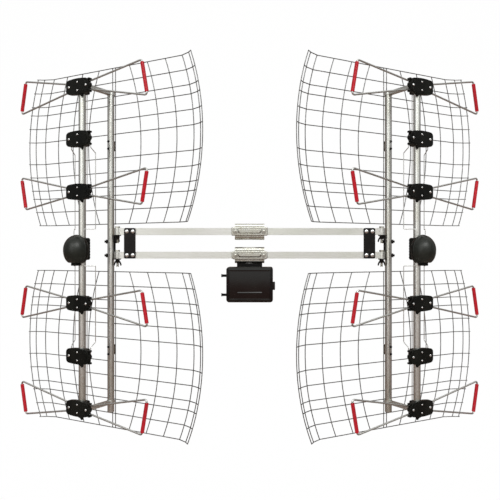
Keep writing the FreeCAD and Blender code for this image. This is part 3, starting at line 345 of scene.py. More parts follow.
def soften(node, width):
    """Round a CAD node's hard edges with modifiers; its own mesh stays as it is."""
    obj = NODES[node]
    obj.modifiers.new("weld", "WELD").merge_threshold = WELD_REACH
    flatten = obj.modifiers.new("flatten", "DECIMATE")
    flatten.decimate_type, flatten.angle_limit = "DISSOLVE", FLAT_ANGLE
    bevel = obj.modifiers.new("bevel", "BEVEL")
    bevel.width, bevel.segments = width * MM, 2
    bevel.limit_method, bevel.angle_limit = "ANGLE", HARD_ANGLE
    bevel.use_clamp_overlap = True
    even_normals(obj)


for node in ("upper_crossbar", "lower_crossbar", "joining_plates", "combiner_bracket"):
    soften(node, 0.4)
for node in ("end_arms", "combiner_base"):
    soften(node, 0.6)
for side in SIDES:
    for node in ("standoff_arms", "mast_bracket", "reflector_clips", "tip_sleeves"):
        soften("%s_%s" % (side, node), 0.35)
    swell = NODES[side + "_tip_sleeves"].modifiers.new("swell", "DISPLACE")
    swell.mid_level, swell.strength = 0.0, SLEEVE_SWELL * MM


# ---------------------------------------------------------------- meshes for the closer pieces

SEGMENTS = 24
THREAD_SEGMENTS, THREAD_ROWS = 14, 7          # round the thread, and along each pitch
CHAMFER_SLOPE = 0.58


class Solid:
    """Closed shells gathered in millimetres, then made into one object."""

    def __init__(self):
        self.vertices, self.faces = [], []

    def stack(self, loops):
        """A skin through loops of equally many points, capped at both ends."""
        start, count = len(self.vertices), len(loops[0])
        self.vertices += [tuple(point) for loop in loops for point in loop]
        for row in range(len(loops) - 1):
            for i in range(count):
                j = (i + 1) % count
                a, b = start + row * count, start + (row + 1) * count
                self.faces.append((a + i, a + j, b + j, b + i))
        last = start + (len(loops) - 1) * count
        self.faces.append(tuple(reversed(range(start, start + count))))
        self.faces.append(tuple(range(last, last + count)))
        return self

    def lathe(self, profile, centre, axis, segments=SEGMENTS):
        """(radius, distance along the axis) pairs turned about an axis through centre."""
        side, up, way = axis_frame(axis)
        centre = Vector(centre)
        turns = [math.tau * i / segments for i in range(segments)]
        return self.stack([[centre + way * distance
                            + (side * math.cos(turn) + up * math.sin(turn)) * radius
                            for turn in turns] for radius, distance in profile])

    def rod(self, radius, start, end, centre, axis, segments=SEGMENTS):
        """A plain round rod, which also serves as a drill."""
        return self.lathe([(radius, start), (radius, end)], centre, axis, segments)

    def thread(self, radius, start, length, centre, axis, pitch=1.25, depth=0.55):
        """A helical thread whose depth fades out over its first and last turn."""
        side, up, way = axis_frame(axis)
        centre, segments = Vector(centre), THREAD_SEGMENTS
        steps = int(length / pitch * THREAD_ROWS)
        loops = []
        for row in range(steps + 1):
            along = length * row / steps
            fade = min(1.0, along / pitch, (length - along) / pitch)
            loop = []
            for i in range(segments):
                turn = math.tau * i / segments
                phase = (along / pitch - i / segments) % 1.0
                r = radius - depth * fade * (1 - abs(2 * phase - 1))
                loop.append(centre + way * (start + along)
                            + (side * math.cos(turn) + up * math.sin(turn)) * r)
            loops.append(loop)
        return self.stack(loops)

    def plate(self, outline, axis, start, end, edge=0.4, steps=3, centre=(0, 0, 0)):
        """outline(inset) drawn across the axis from start to end, with rounded edges."""
        side, up, way = axis_frame(axis)
        centre = Vector(centre)
        depths = [(edge * (1 - math.sin(math.pi / 2 * i / steps)),
                   edge * (1 - math.cos(math.pi / 2 * i / steps))) for i in range(steps + 1)]
        sections = [(start + rise, inset) for inset, rise in depths]
        sections += [(end - rise, inset) for inset, rise in reversed(depths)]
        sections.sort(key=lambda section: section[0])
        return self.stack([[centre + side * a + up * b + way * at for a, b in outline(inset)]
                           for at, inset in sections])

    def block(self, centre, lengths, edge=0.4):
        """A block with rounded edges; lengths along x, y and z."""
        wide, deep, tall = lengths
        return self.plate(rounded_rectangle(wide, tall, edge * 1.5), "y", -deep / 2, deep / 2,
                          edge, centre=centre)

    def hexagon(self, flats, start, end, centre, axis, chamfer=0.12):
        """A six-sided head or nut whose corners are chamfered at both faces."""
        across = flats / math.sqrt(3)
        low = across * (1 - chamfer)
        reach = (across - low) * CHAMFER_SLOPE
        return self.lathe([(low, start), (across, start + reach), (across, end - reach),
                           (low, end)], centre, axis, 6)

    def make(self, name, matrix):
        """The object, in metres, placed by a matrix that may also mirror it."""
        mesh = bpy.data.meshes.new(name)
        mesh.from_pydata([Vector(point) * MM for point in self.vertices], [], self.faces)
        obj = bpy.data.objects.new(name, mesh)
        bpy.context.scene.collection.objects.link(obj)
        work = bmesh.new()
        work.from_mesh(mesh)
        bmesh.ops.transform(work, matrix=matrix, verts=work.verts)
        bmesh.ops.recalc_face_normals(work, faces=work.faces)
        work.to_mesh(mesh)
        work.free()
        return obj


def axis_frame(axis):
    """Two directions across the axis, and the axis itself."""
    x, y, z = Vector((1, 0, 0)), Vector((0, 1, 0)), Vector((0, 0, 1))
    return {"x": (y, z, x), "y": (x, z, y), "z": (x, y, z)}[axis]


def rounded_rectangle(wide, tall, radius, crown=0.0, corner_steps=5):
    """outline(inset) of a rectangle with round corners and crowned long sides."""
    def outline(inset):
        half_w, half_t, r = wide / 2 - inset, tall / 2 - inset, max(radius - inset, 0.05)
        points = []
        for sx, sz, first in ((1, 1, 0), (-1, 1, 1), (-1, -1, 2), (1, -1, 3)):
            for step in range(corner_steps + 1):
                turn = math.pi / 2 * (first + step / corner_steps)
                points.append((sx * (half_w - r) + r * math.cos(turn),
                               sz * (half_t - r) + r * math.sin(turn)))
        if not crown:
            return points
        dense = []
        for (ax, az), (bx, bz) in zip(points, points[1:] + points[:1]):
            cuts = max(1, round(abs(bx - ax) / 4))
            dense += [(ax + (bx - ax) * i / cuts, az + (bz - az) * i / cuts)
                      for i in range(cuts)]
        return [(x, z - math.copysign(crown * (x / (wide / 2)) ** 2, z) * min(1, abs(z) / 4))
                for x, z in dense]
    return outline


def freeform(points):
    """outline(inset) of a closed polygon pulled towards its middle by the inset."""
    centre = sum((Vector(point) for point in points), Vector((0, 0))) / len(points)

    def outline(inset):
        pulled = []
        for point in points:
            arm = Vector(point) - centre
            pulled.append(tuple(centre + arm * max(0.1, 1 - inset / max(arm.length, 0.1))))
        return pulled
    return outline


def carved(obj, cutter, operation="DIFFERENCE"):
    """Cut one object out of another, or join them, and drop the second."""
    change = obj.modifiers.new("carve", "BOOLEAN")
    change.operation, change.solver, change.object = operation, "EXACT", cutter
    change.use_self = True
    graph = bpy.context.evaluated_depsgraph_get()
    mesh = bpy.data.meshes.new_from_object(obj.evaluated_get(graph))
    obj.modifiers.clear()
    obj.data = mesh
    bpy.data.objects.remove(cutter)
    return obj


def finished(obj, slot, body, nodes=(), sharp=35):
    """Material, shading, the body it moves with and the CAD nodes it stands for."""
    paint(obj, slot)
    obj.data.polygons.foreach_set("use_smooth", [True] * len(obj.data.polygons))
    obj.data.set_sharp_from_angle(angle=math.radians(sharp))
    even_normals(obj)
    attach(obj, body)
    if nodes:
        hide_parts(*nodes)


# ---------------------------------------------------------------- holders on the booms

BOOM_Y = -93.0                       # the boom's axis is this far in front of the rear tube's
TUBE_BORE_R = 8.06
BLOCK_FRONT, BLOCK_REAR = BOOM_Y - 14, BOOM_Y - 2
BLOCK_WIDE, BLOCK_TALL, BLOCK_CORNER, BLOCK_CROWN, BLOCK_SHIFT = 66, 36, 7.0, 3.2, -3.9
BAY_HEIGHTS = (349.3, 114.3, -135.1, -370.1)
SPACER_HEIGHTS = (232.5, -253.3)
SIDE_SCREW_X, SCREW_RISE, SIDE_SCREW_R, MIDDLE_SCREW_R, SCREW_SHIFT = 25.6, 9.2, 3.2, 2.5, -2.6
ROD_Y, ROD_RISE, ROD_HOLE_R = BOOM_Y - 6, 10.0, 2.3
RECESS_DEEP = 1.0
CROSS_WIDE, CROSS_DEEP = 0.75, 2.2
SCREW_ARC = [math.radians(angle) for angle in (18, 36, 54, 72, 86)]


def screw_places(z):
    """x, height and radius of the four screws on a block's face."""
    return ((SCREW_SHIFT + SIDE_SCREW_X, z, SIDE_SCREW_R),
            (SCREW_SHIFT - SIDE_SCREW_X, z, SIDE_SCREW_R),
            (SCREW_SHIFT, z + SCREW_RISE, MIDDLE_SCREW_R),
            (SCREW_SHIFT, z - SCREW_RISE, MIDDLE_SCREW_R))


def block_shells(z):
    """Crowned front, and its rib, pad, two lugs, wedge, hook and the grip round the boom."""
    face = rounded_rectangle(BLOCK_WIDE, BLOCK_TALL, BLOCK_CORNER, BLOCK_CROWN)
    front = Solid().plate(face, "y", BLOCK_FRONT, BLOCK_REAR, edge=1.4, steps=4,
                          centre=(BLOCK_SHIFT, 0, z))
    added = Solid()
    added.block((25.6, BLOCK_FRONT + 0.3, z + 0.5), lengths=(1.8, 2.2, 25), edge=0.7)
    pad = rounded_rectangle(wide=31, tall=27, radius=5)
    added.plate(pad, "y", BLOCK_FRONT - 0.7, BLOCK_FRONT + 2, edge=0.6, centre=(6, 0, z))
    for rise in (13.3, -13.3):
        added.block((30.2, BOOM_Y - 8, z + rise), lengths=(6.4, 9, 4.6), edge=1.2)
    wedge = [(26, -6.5), (31, -4.5), (33.4, -1.5), (33.4, 3), (31, 6), (26, 8)]
    added.plate(freeform(wedge), "y", BOOM_Y - 12.5, BOOM_Y - 3.5, edge=0.8, centre=(0, 0, z))
    hook = [(0, -13), (11.5, -13), (10.5, -20), (9, -24), (6.4, -21), (3, -19.4), (0, -19)]
    added.plate(freeform(hook), "y", BOOM_Y - 12.5, BOOM_Y - 6, edge=0.6, centre=(0, 0, z))
    added.block((0, BOOM_Y + 4.5, z), lengths=(26, 15, 32), edge=2.2)
    return front, added


def merged(name, solids, matrix):
    """Several solids joined into one clean skin."""
    first = solids[0].make(name, matrix)
    for other in solids[1:]:
        carved(first, other.make(name + "_part", matrix), "UNION")
    return first


def gather(solids):
    """One solid of several that don't touch."""
    whole = Solid()
    for solid in solids:
        start = len(whole.vertices)
        whole.vertices += solid.vertices
        whole.faces += [tuple(start + i for i in face) for face in solid.faces]
    return whole


def make_blocks(side, heights, node, with_rods):
    """Moulded holders, bored for the boom and the rods, with a recess for each screw."""
    place = panel_matrix(side)
    shells = [block_shells(z) for z in heights]
    body = merged(side + "_blocks_" + node, [gather([front for front, _ in shells]),
                                             gather([added for _, added in shells])], place)
    bores, recesses = Solid(), Solid()
    for z in heights:
        bores.rod(TUBE_BORE_R, z - 40, z + 40, (0, BOOM_Y, 0), "z", 40)
        for x, rise, radius in screw_places(z):
            recesses.lathe([(radius + 1.0, BLOCK_FRONT - 2), (radius + 1.0, BLOCK_FRONT),
                            (radius + 0.5, BLOCK_FRONT + RECESS_DEEP)], (x, 0, rise), "y", 20)
        for rise in (ROD_RISE, -ROD_RISE) if with_rods else ():
            for start, end in ((-45, -24), (24, 42)):
                recesses.rod(ROD_HOLE_R, start, end, (0, ROD_Y, z + rise), "x", 14)
    carved(body, bores.make("bore_cutter", place))
    carved(body, recesses.make("recess_cutter", place))
    finished(body, "black_plastic", side + "_panel", ["%s_%s" % (side, node)])


def make_block_screws(side):
    """Domed heads with a cross recess."""
    heads, crosses = Solid(), Solid()
    base = BLOCK_FRONT + RECESS_DEEP
    for z in BAY_HEIGHTS + SPACER_HEIGHTS:
        for x, rise, radius in screw_places(z):
            dome = [(radius * 0.5, base + 3), (radius * 0.5, base + 0.1), (radius * 0.97, base),
                    (radius, base - 0.5)]
            dome += [(radius * math.cos(a), base - 0.5 - 1.5 * math.sin(a)) for a in SCREW_ARC]
            heads.lathe(dome, (x, 0, rise), "y", 20)
            for wide, tall in ((radius * 1.05, CROSS_WIDE), (CROSS_WIDE, radius * 1.05)):
                crosses.block((x, base - 2.1, rise), (wide, CROSS_DEEP, tall), edge=0.1)
    place = panel_matrix(side)
    body = carved(heads.make(side + "_block_screw_heads", place),
                  crosses.make("cross_cutter", place))
    finished(body, "chrome_steel", side + "_panel", [side + "_block_screws"], 30)


# ---------------------------------------------------------------- balun housings

DOME_Z, DOME_HALF_WIDE, DOME_HALF_TALL, DOME_DEEP, DOME_WALL = -13.4, 28.5, 31.0, 30.0, 2.0
RIM_Y = BOOM_Y - 17
LOW_STRETCH = 1.07                   # the egg is longer downwards before its floor cuts it off
LOW_FULLNESS = 0.62                  # and fuller below its middle
EGG_POINTS, DOME_STEPS, DOME_REACH = 72, 22, math.radians(88.5)
CONNECTOR_BORE_R = 4.85


def egg_loop(scale, y, inset=0.0):
    """One section of the egg shape, flat underneath."""
    wide, tall = DOME_HALF_WIDE - inset, DOME_HALF_TALL - inset
    floor = DOME_Z - tall
    loop = []
    for i in range(EGG_POINTS):
        turn = math.tau * i / EGG_POINTS
        z = DOME_Z - tall * (LOW_STRETCH - 1) + tall * LOW_STRETCH * scale * math.sin(turn)
        across = math.cos(turn)
        if i > EGG_POINTS / 2:
            across = math.copysign(abs(across) ** LOW_FULLNESS, across)
        loop.append(Vector((wide * scale * across, y, max(z, floor))))
    return loop


def make_balun_cover(side):
    """A hollow egg-shaped shell with a thin lip at its rim."""
    angles = [DOME_REACH * (1 - i / DOME_STEPS) for i in range(DOME_STEPS + 1)]
    outer = [egg_loop(math.cos(a), RIM_Y - DOME_DEEP * math.sin(a)) for a in angles]
    lip = [egg_loop(1.012, RIM_Y - 1.5, -0.1), egg_loop(1.012, RIM_Y - 0.3, -0.1),
           egg_loop(0.995, RIM_Y)]
    inner = [egg_loop(math.cos(a), RIM_Y - (DOME_DEEP - DOME_WALL) * math.sin(a), DOME_WALL)
             for a in reversed(angles)]
    cover = Solid().stack(outer[:-1] + lip + inner).make(side + "_balun_shell", panel_matrix(side))
    finished(cover, "satin_black", side + "_panel", [side + "_balun_cover"], 40)


def make_balun_base(side):
    """The shell's back, the ribbed grip round the boom and the connector's socket."""
    place = panel_matrix(side)
    profile = ((0.975, 0.1), (0.98, 1.0), (0.96, 5.0), (0.92, 9.0), (0.88, 11.5), (0.80, 13.0))
    shell = Solid().stack([egg_loop(scale, RIM_Y + y) for scale, y in profile])
    grip = Solid().block((0, BOOM_Y + 2, DOME_Z), lengths=(30, 18, 49.6), edge=3.0)
    ribs = Solid()
    for step in range(-3, 4):
        ribs.block((0, BOOM_Y + 11, DOME_Z + step * 6.5), lengths=(27, 1.6, 2.6), edge=0.7)
    floor = DOME_Z - DOME_HALF_TALL
    skirt = Solid().block((0, BOOM_Y - 20.5, floor - 3.2), lengths=(14.6, 14, 6.6), edge=1.0)
    neck = Solid().block((0, BOOM_Y - 14.9, floor + 1), lengths=(13, 4, 12), edge=0.8)
    base = merged(side + "_balun_back", [shell, grip, ribs, neck, skirt], place)
    bores = Solid().rod(TUBE_BORE_R, DOME_Z - 60, DOME_Z + 60, (0, BOOM_Y, 0), "z", 40)
    bores.rod(CONNECTOR_BORE_R, floor - 12, floor + 3, (0, BOOM_Y - 21, 0), "z", 28)
    carved(base, bores.make("bore_cutter", place))
    finished(base, "black_plastic", side + "_panel", [side + "_balun_base"], 40)


# ---------------------------------------------------------------- bolts, nuts and wing nuts

BARS = Matrix.Translation((0, -30.5 * MM, 0))        # the crossbars' centre plane
HINGE_X, BAR_Z, BAR_HALF_TALL, BOLT_R = 311.0, 27.8, 8.0, 3.0
LEG_X, PLATE_X, PLATE_HOLE_X = 32.8, 280.8, 7.0
NUT_THICK, NUT_FLATS, NUT_BORE_R, NUT_MOUTH_R = 5.0, 10.0, 3.05, 3.6
PLATE_NUT_Y, CLAMP_NUT_Y = 6.05, -14.6
BOLT_FACE, BOLT_DOME_R, BOLT_DOME_RISE = -9.1, 5.0, 2.6
U_CROWN_Y, U_TIP_Y, U_STEPS, U_SEGMENTS = 20.1, -25.9, 32, 20
WING_GAP = 2.6                       # from the underside of a bar to the top of its wing nut
MIRRORED = Matrix.Diagonal((-1, 1, 1, 1))


def placed(side):
    return BARS if side == "left" else BARS @ MIRRORED


def bar_points(centre_x, offset):
    """x and z of the points at both offsets from centre_x on the left and right, on both bars."""
    return [(sign * centre_x + step, z) for sign in (-1, 1) for step in (-offset, offset)
            for z in (BAR_Z, -BAR_Z)]


def make_hinge_bolts():
    """Hexagon bolts, each with its head above a bar and its thread below."""
    bolts = Solid()
    for sign in (-1, 1):
        for z in (BAR_Z, -BAR_Z):
            top = z + BAR_HALF_TALL
            centre = (sign * HINGE_X, 0, 0)
            bolts.hexagon(NUT_FLATS, top + 0.1, top + 4.1, centre, "z", chamfer=0.1)
            bolts.rod(BOLT_R, top - 12, top + 1, centre, "z")
            bolts.thread(BOLT_R, top - 35.5, 24, centre, "z")
    finished(bolts.make("hinge_bolt_set", BARS), "zinc_steel", "frame", ["hinge_bolts"])


def make_carriage_bolts():
    """Domed bolts whose threads stand out behind the bars."""
    bolts = Solid()
    dome = [(BOLT_DOME_R * math.sin(a), BOLT_FACE - BOLT_DOME_RISE * math.cos(a))
            for a in (math.radians(angle) for angle in range(3, 88, 12))]
    shank = [(BOLT_DOME_R, BOLT_FACE), (BOLT_R, BOLT_FACE + 0.01), (BOLT_R, 5.0)]
    for x, z in bar_points(PLATE_X, PLATE_HOLE_X):
        bolts.lathe(dome + shank, (x, 0, z), "y")
        bolts.thread(BOLT_R, 4.5, 10.4, (x, 0, z), "y")
    finished(bolts.make("carriage_bolt_set", BARS), "chrome_steel", "frame", ["carriage_bolts"])


def make_nuts():
    """The plates' nuts behind the bars, and the clamps' nuts in front of the jaws."""
    nuts, bores = Solid(), Solid()
    places = [(x, PLATE_NUT_Y, z) for x, z in bar_points(PLATE_X, PLATE_HOLE_X)]
    places += [(x, CLAMP_NUT_Y, z) for x in (-LEG_X, LEG_X) for z in (BAR_Z, -BAR_Z)]
    for x, start, z in places:
        end = start + NUT_THICK
        nuts.hexagon(NUT_FLATS, start, end, (x, 0, z), "y")
        bores.lathe([(NUT_MOUTH_R, start - 1), (NUT_BORE_R, start + 0.4), (NUT_BORE_R, end - 0.4),
                     (NUT_MOUTH_R, end + 1)], (x, 0, z), "y", 20)
    body = carved(nuts.make("hex_nut_set", BARS), bores.make("nut_cutter", BARS))
    finished(body, "zinc_steel", "frame", ["hex_nuts"], 30)


def make_u_bolt(label, z):
    """A rod bent round the pole, with threaded and chamfered legs."""
    leg = (-5.0, 8.0, U_CROWN_Y)
    path = [(-LEG_X, y) for y in leg]
    path += [(-LEG_X * math.cos(a), U_CROWN_Y + LEG_X * math.sin(a))
             for a in (math.pi * i / U_STEPS for i in range(1, U_STEPS))]
    path += [(LEG_X, y) for y in reversed(leg)]
    ring = [(BOLT_R * math.cos(a), BOLT_R * math.sin(a))
            for a in (math.tau * i / U_SEGMENTS for i in range(U_SEGMENTS))]
    loops = []
    for i, (x, y) in enumerate(path):
        before, after = path[max(i - 1, 0)], path[min(i + 1, len(path) - 1)]
        way = Vector((after[0] - before[0], after[1] - before[1], 0)).normalized()
        across = Vector((way.y, -way.x, 0))
        loops.append([Vector((x, y, z + rise)) + across * out for out, rise in ring])
    bolt = Solid().stack(loops)
    for x in (-LEG_X, LEG_X):
        bolt.thread(BOLT_R, U_TIP_Y, 21.5, (x, 0, z), "y")
        bolt.lathe([(1.4, U_TIP_Y - 0.6), (2.5, U_TIP_Y), (2.5, U_TIP_Y + 1.0)], (x, 0, z), "y", 20)
    finished(bolt.make(label + "_clamp_u_bolt", BARS), "zinc_steel", label + "_clamp_bolt",
             [label + "_u_bolt"])


def make_wing_nut(side, label, top, turn):
    """A tapered hub with two wings that hang below its top."""
    hub = Solid().lathe([(4.7, -0.05), (5.2, -0.5), (5.2, -1.4), (4.7, -4.5), (4.4, -6.7),
                         (4.0, -7.05)], (0, 0, 0), "z", 28)
    lobe = [(2.5, -1.6), (4.4, -1.9), (6.0, -3.6), (7.6, -6.2), (8.8, -9.0), (9.4, -11.4),
            (9.3, -13.0), (8.6, -14.0), (7.5, -14.3), (6.6, -13.6), (5.9, -11.4), (5.0, -9.0),
            (3.8, -7.2), (2.5, -6.6)]
    wings = Solid()
    for sign in (1, -1):
        wings.plate(freeform([(sign * x, z) for x, z in lobe]), "y", -1.35, 1.35, edge=0.8)
    place = placed(side) @ Matrix.Translation((-HINGE_X * MM, 0, (top - 0.05) * MM)) \
        @ Matrix.Rotation(math.radians(turn), 4, "Z")
    body = merged("%s_%s_wings" % (side, label), [hub, wings], place)
    bore = Solid().rod(NUT_BORE_R, -20, 5, (0, 0, 0), "z", 20)
    carved(body, bore.make("nut_cutter", place))
    node = "%s_%s_wing_nut" % (side, label)
    finished(body, "black_steel", node + "_body", [node], 40)


# ---------------------------------------------------------------- pole clamps

JAW_BACK, JAW_FRONT, JAW_WIDE, JAW_TALL = -6.05, -9.55, 84.5, 20.0
BOSS_WIDE, BOSS_TALL, BOSS_SLOPE, BOSS_CORNER, BOSS_RISE = 59, 10.6, 4.5, 2.4, 0.4
JAW_HOLE_R, NUT_SEAT_R, SADDLE_HOLE_R = 3.1, 6.0, 3.3
SADDLE_FRONT, SADDLE_REAR, SADDLE_THICK = 6.05, 24.55, 2.5
SADDLE_WIDE, SADDLE_TALL, SADDLE_BEND, BEND_STEPS = 70.0, 38.0, 6.5, 8
POLE_R, POLE_Y = 19.0, 30.5


def trapezoid(wide, tall, slope, radius):
    """outline(inset) of a boss that is narrower underneath, with round corners."""
    corners = [Vector(p) for p in ((wide / 2, tall / 2), (-wide / 2, tall / 2),
                                   (-wide / 2 + slope, -tall / 2), (wide / 2 - slope, -tall / 2))]

    def outline(inset):
        points = []
        for i, corner in enumerate(corners):
            back = (corners[i - 1] - corner).normalized()
            ahead = (corners[(i + 1) % 4] - corner).normalized()
            corner = corner + (back + ahead).normalized() * inset * 1.25
            for blend in (0, 0.2, 0.4, 0.6, 0.8, 1):
                pull = back * (1 - blend) ** 2 + ahead * blend ** 2
                points.append(tuple(corner + pull * radius))
        return points
    return outline


def make_jaws():
    """Pressed plates with a long raised boss between the legs of the U-bolt."""
    plates, bosses, bores = Solid(), Solid(), Solid()
    shape = trapezoid(BOSS_WIDE, BOSS_TALL, BOSS_SLOPE, BOSS_CORNER)
    for z, corner in ((BAR_Z, 2.5), (-BAR_Z, 6.5)):
        plates.plate(rounded_rectangle(JAW_WIDE, JAW_TALL, corner), "y", JAW_FRONT, JAW_BACK,
                     edge=1.7, steps=5, centre=(0, 0, z))
        sections = ((JAW_FRONT + 1.5, -0.6), (JAW_FRONT - 0.1, -0.3), (JAW_FRONT - 0.4, 0.1),
                    (JAW_FRONT - 2.0, 1.4), (JAW_FRONT - 2.4, 1.8), (JAW_FRONT - 2.5, 2.3))
        bosses.stack([[Vector((x, y, rise + z + BOSS_RISE)) for x, rise in shape(inset)]
                      for y, inset in reversed(sections)])
        for x in (-LEG_X, LEG_X):
            bores.rod(JAW_HOLE_R, JAW_FRONT - 6, JAW_BACK + 2, (x, 0, z), "y")
            bores.rod(NUT_SEAT_R, JAW_FRONT - 6, JAW_FRONT - 0.02, (x, 0, z), "y")
    body = merged("clamp_jaw_set", [plates, bosses], BARS)
    carved(body, bores.make("jaw_cutter", BARS))
    finished(body, "zinc_steel", "frame", ["clamp_jaws"], 30)


def saddle_half(inset):
    """y and z from a saddle's upper rear edge round its bend to the web, this far inside."""
    radius, half = SADDLE_BEND - inset, SADDLE_TALL / 2 - inset
    bend = [(SADDLE_FRONT + inset + radius * (1 - math.sin(a)), half - radius * (1 - math.cos(a)))
            for a in (math.pi / 2 * i / BEND_STEPS for i in range(BEND_STEPS + 1))]
    return [(SADDLE_REAR, half)] + bend


def make_saddles():
    """Channels with wide bends, notched behind for the pole."""
    outer, inner = saddle_half(0), saddle_half(SADDLE_THICK)
    section = outer + [(y, -z) for y, z in reversed(outer)]
    section += [(y, -z) for y, z in inner] + inner[::-1]
    saddles, cutters = Solid(), Solid()
    for z in (BAR_Z, -BAR_Z):
        saddles.stack([[Vector((x, y, rise + z)) for y, rise in section]
                       for x in (-SADDLE_WIDE / 2, SADDLE_WIDE / 2)])
        for x in (-LEG_X, LEG_X):
            cutters.rod(SADDLE_HOLE_R, 0, 12, (x, 0, z), "y")
    cutters.rod(POLE_R, -60, 60, (0, POLE_Y, 0), "z", 64)
    body = carved(saddles.make("pole_saddle_set", BARS), cutters.make("notch_cutter", BARS))
    finished(body, "zinc_steel", "frame", ["pole_saddles"], 30)


# ---------------------------------------------------------------- combiner box

BOX_WIDE, BOX_TALL, BOX_CORNER, BOX_MID = 108.0, 82.0, 7.0, -96.0
LID_RIM_Y, LATCH_Z, RAIL_Z = -15.0, -99.0, BOX_MID - BOX_TALL / 2 + 23
LID_HINGE = (-51.9, -14.5)
LID_KNUCKLES, BASE_KNUCKLES = (-82, -112), (-68, -97, -126)
BOARD_Y, CORE_X, CORE_Y, BOARD_FACE = -3.4, 20, -7.6, -4.1


def make_lid():
    """Deep lid with a broad bevel, a bead round its face, a rail and a latch tab."""
    outline = rounded_rectangle(BOX_WIDE, BOX_TALL, BOX_CORNER, corner_steps=8)
    outside = ((-36.0, 11.0), (-36.0, 8.6), (-36.05, 7.9), (-36.5, 7.5), (-36.6, 7.1),
               (-36.3, 6.7), (-35.6, 6.2), (-31.0, 1.7), (-29.9, 0.7), (-28.8, 0.2), (-27.5, 0),
               (-15.4, 0), (-15.05, 0.3), (LID_RIM_Y, 0.7))
    inside = ((LID_RIM_Y, 2.2), (-15.3, 2.5), (-28.0, 3.0), (-32.4, 7.5), (-33.2, 9.5))
    loops = [[Vector((x, y, z + BOX_MID)) for x, z in outline(inset)]
             for y, inset in outside + inside]
    shell = Solid().stack(loops)
    rail = ((-36.9, -1.0), (-36.9, 0.2), (-36.2, 1.6), (-35.5, 2.0), (-35.5, -1.8), (-36.3, -1.6))
    added = Solid().stack([[Vector((x, y, RAIL_Z + z)) for y, z in rail] for x in (-28, 28)])
    added.block((57.6, -15.0, LATCH_Z), lengths=(3, 17, 19), edge=0.9)
    added.block((55.4, -21.0, LATCH_Z), lengths=(5, 5, 19), edge=0.9)
    for rise in (-6, -3, 0, 3, 6):
        added.block((58.9, -12.0, LATCH_Z + rise), lengths=(0.9, 8, 1.1), edge=0.35)
    for z in LID_KNUCKLES:
        added.lathe([(1.6, -6.8), (1.9, -6.4), (1.9, 6.4), (1.6, 6.8)], LID_HINGE + (z,), "z", 20)
    lid = merged("combiner_lid_shell", [shell, added], BARS)
    room = Solid()
    for z in BASE_KNUCKLES:
        room.rod(2.25, -7.1, 7.1, LID_HINGE + (z,), "z", 20)
    carved(lid, room.make("knuckle_cutter", BARS))
    finished(lid, "gloss_black", "combiner_cover", ["combiner_lid"], 30)


def make_combiner_board():
    """Circuit board with two wound ferrite cores, a filter can, chips and solder joints."""
    board = Solid().block((0, BOARD_Y, BOX_MID), lengths=(92, 1.6, 66), edge=0.25)
    finished(board.make("combiner_circuit", BARS), "circuit_board", "frame", ["combiner_board"])
    dark = Solid()
    bright = Solid().block((0, BOARD_Y - 3.2, BOX_MID), lengths=(17, 4.8, 23), edge=0.8)
    for x in (-CORE_X, CORE_X):
        dark.block((x, CORE_Y, BOX_MID), lengths=(14, 6.8, 14), edge=1.2)
        for step in (-4, -2, 0, 2, 4):
            bright.block((x + step, CORE_Y, BOX_MID), lengths=(0.7, 8.0, 15.2), edge=0.3)
    for x, z in ((-38, 20), (-38, -20), (34, 22), (0, -24)):
        dark.block((x, BOARD_Y - 1.7, BOX_MID + z), lengths=(8, 2, 5), edge=0.3)
    joint = [(1.1, 0), (0.9, -0.5), (0.3, -0.9)]
    for x in range(-40, 41, 8):
        for z in (-29, 29):
            bright.lathe(joint, (x, BOARD_FACE, BOX_MID + z), "y", 10)
    finished(dark.make("combiner_cores", BARS), "seal_rubber", "frame")
    finished(bright.make("combiner_windings", BARS), "tinned_wire", "frame")


for side in SIDES:
    make_blocks(side, BAY_HEIGHTS, "bay_insulators", True)
    make_blocks(side, SPACER_HEIGHTS, "blank_spacers", False)
    make_block_screws(side)
    make_balun_cover(side)
    make_balun_base(side)
    make_wing_nut(side, "upper", BAR_Z - BAR_HALF_TALL - WING_GAP, 75 if side == "left" else 0)
    make_wing_nut(side, "lower", -BAR_Z - BAR_HALF_TALL - WING_GAP, 0)
make_hinge_bolts()
make_carriage_bolts()
make_nuts()
make_jaws()
make_saddles()
make_u_bolt("upper", BAR_Z)
make_u_bolt("lower", -BAR_Z)
make_lid()
make_combiner_board()


# ---------------------------------------------------------------- camera, light and floor

FOCAL = 632 / 500                    # focal length over the picture's width
EYE = Vector((0.0, -1.5195, -0.0204))
SHIFT = (0.0008, 0.004)
SENSOR = 36.0
FLOOR_DROP, NEAR_Y, HALF_WIDE = 0.45, -4.0, 5.0
WALL_Y, WALL_TALL, SWEEP_R, SWEEP_STEPS = 2.6, 5.0, 1.0, 16
HORIZON = (-0.051, -0.045)           # heights between which the world's lower half gives way


def make_camera():
    camera = bpy.data.objects.new("camera", bpy.data.cameras.new("camera"))
    camera.data.sensor_width = SENSOR
    camera.data.lens = SENSOR * FOCAL
    camera.data.shift_x, camera.data.shift_y = SHIFT
    camera.location = EYE
    camera.rotation_euler = (math.pi / 2, 0, 0)
    bpy.context.scene.collection.objects.link(camera)
    bpy.context.scene.camera = camera


def make_lamp(name, place, size, power):
    """A rectangular lamp that faces the object's middle."""
    lamp = bpy.data.lights.new(name, "AREA")
    lamp.shape = "RECTANGLE"
    lamp.size, lamp.size_y = size
    lamp.energy = power
    obj = bpy.data.objects.new(name, lamp)
    obj.location = place
    obj.rotation_euler = (-Vector(place)).to_track_quat("-Z", "Y").to_euler()
    bpy.context.scene.collection.objects.link(obj)


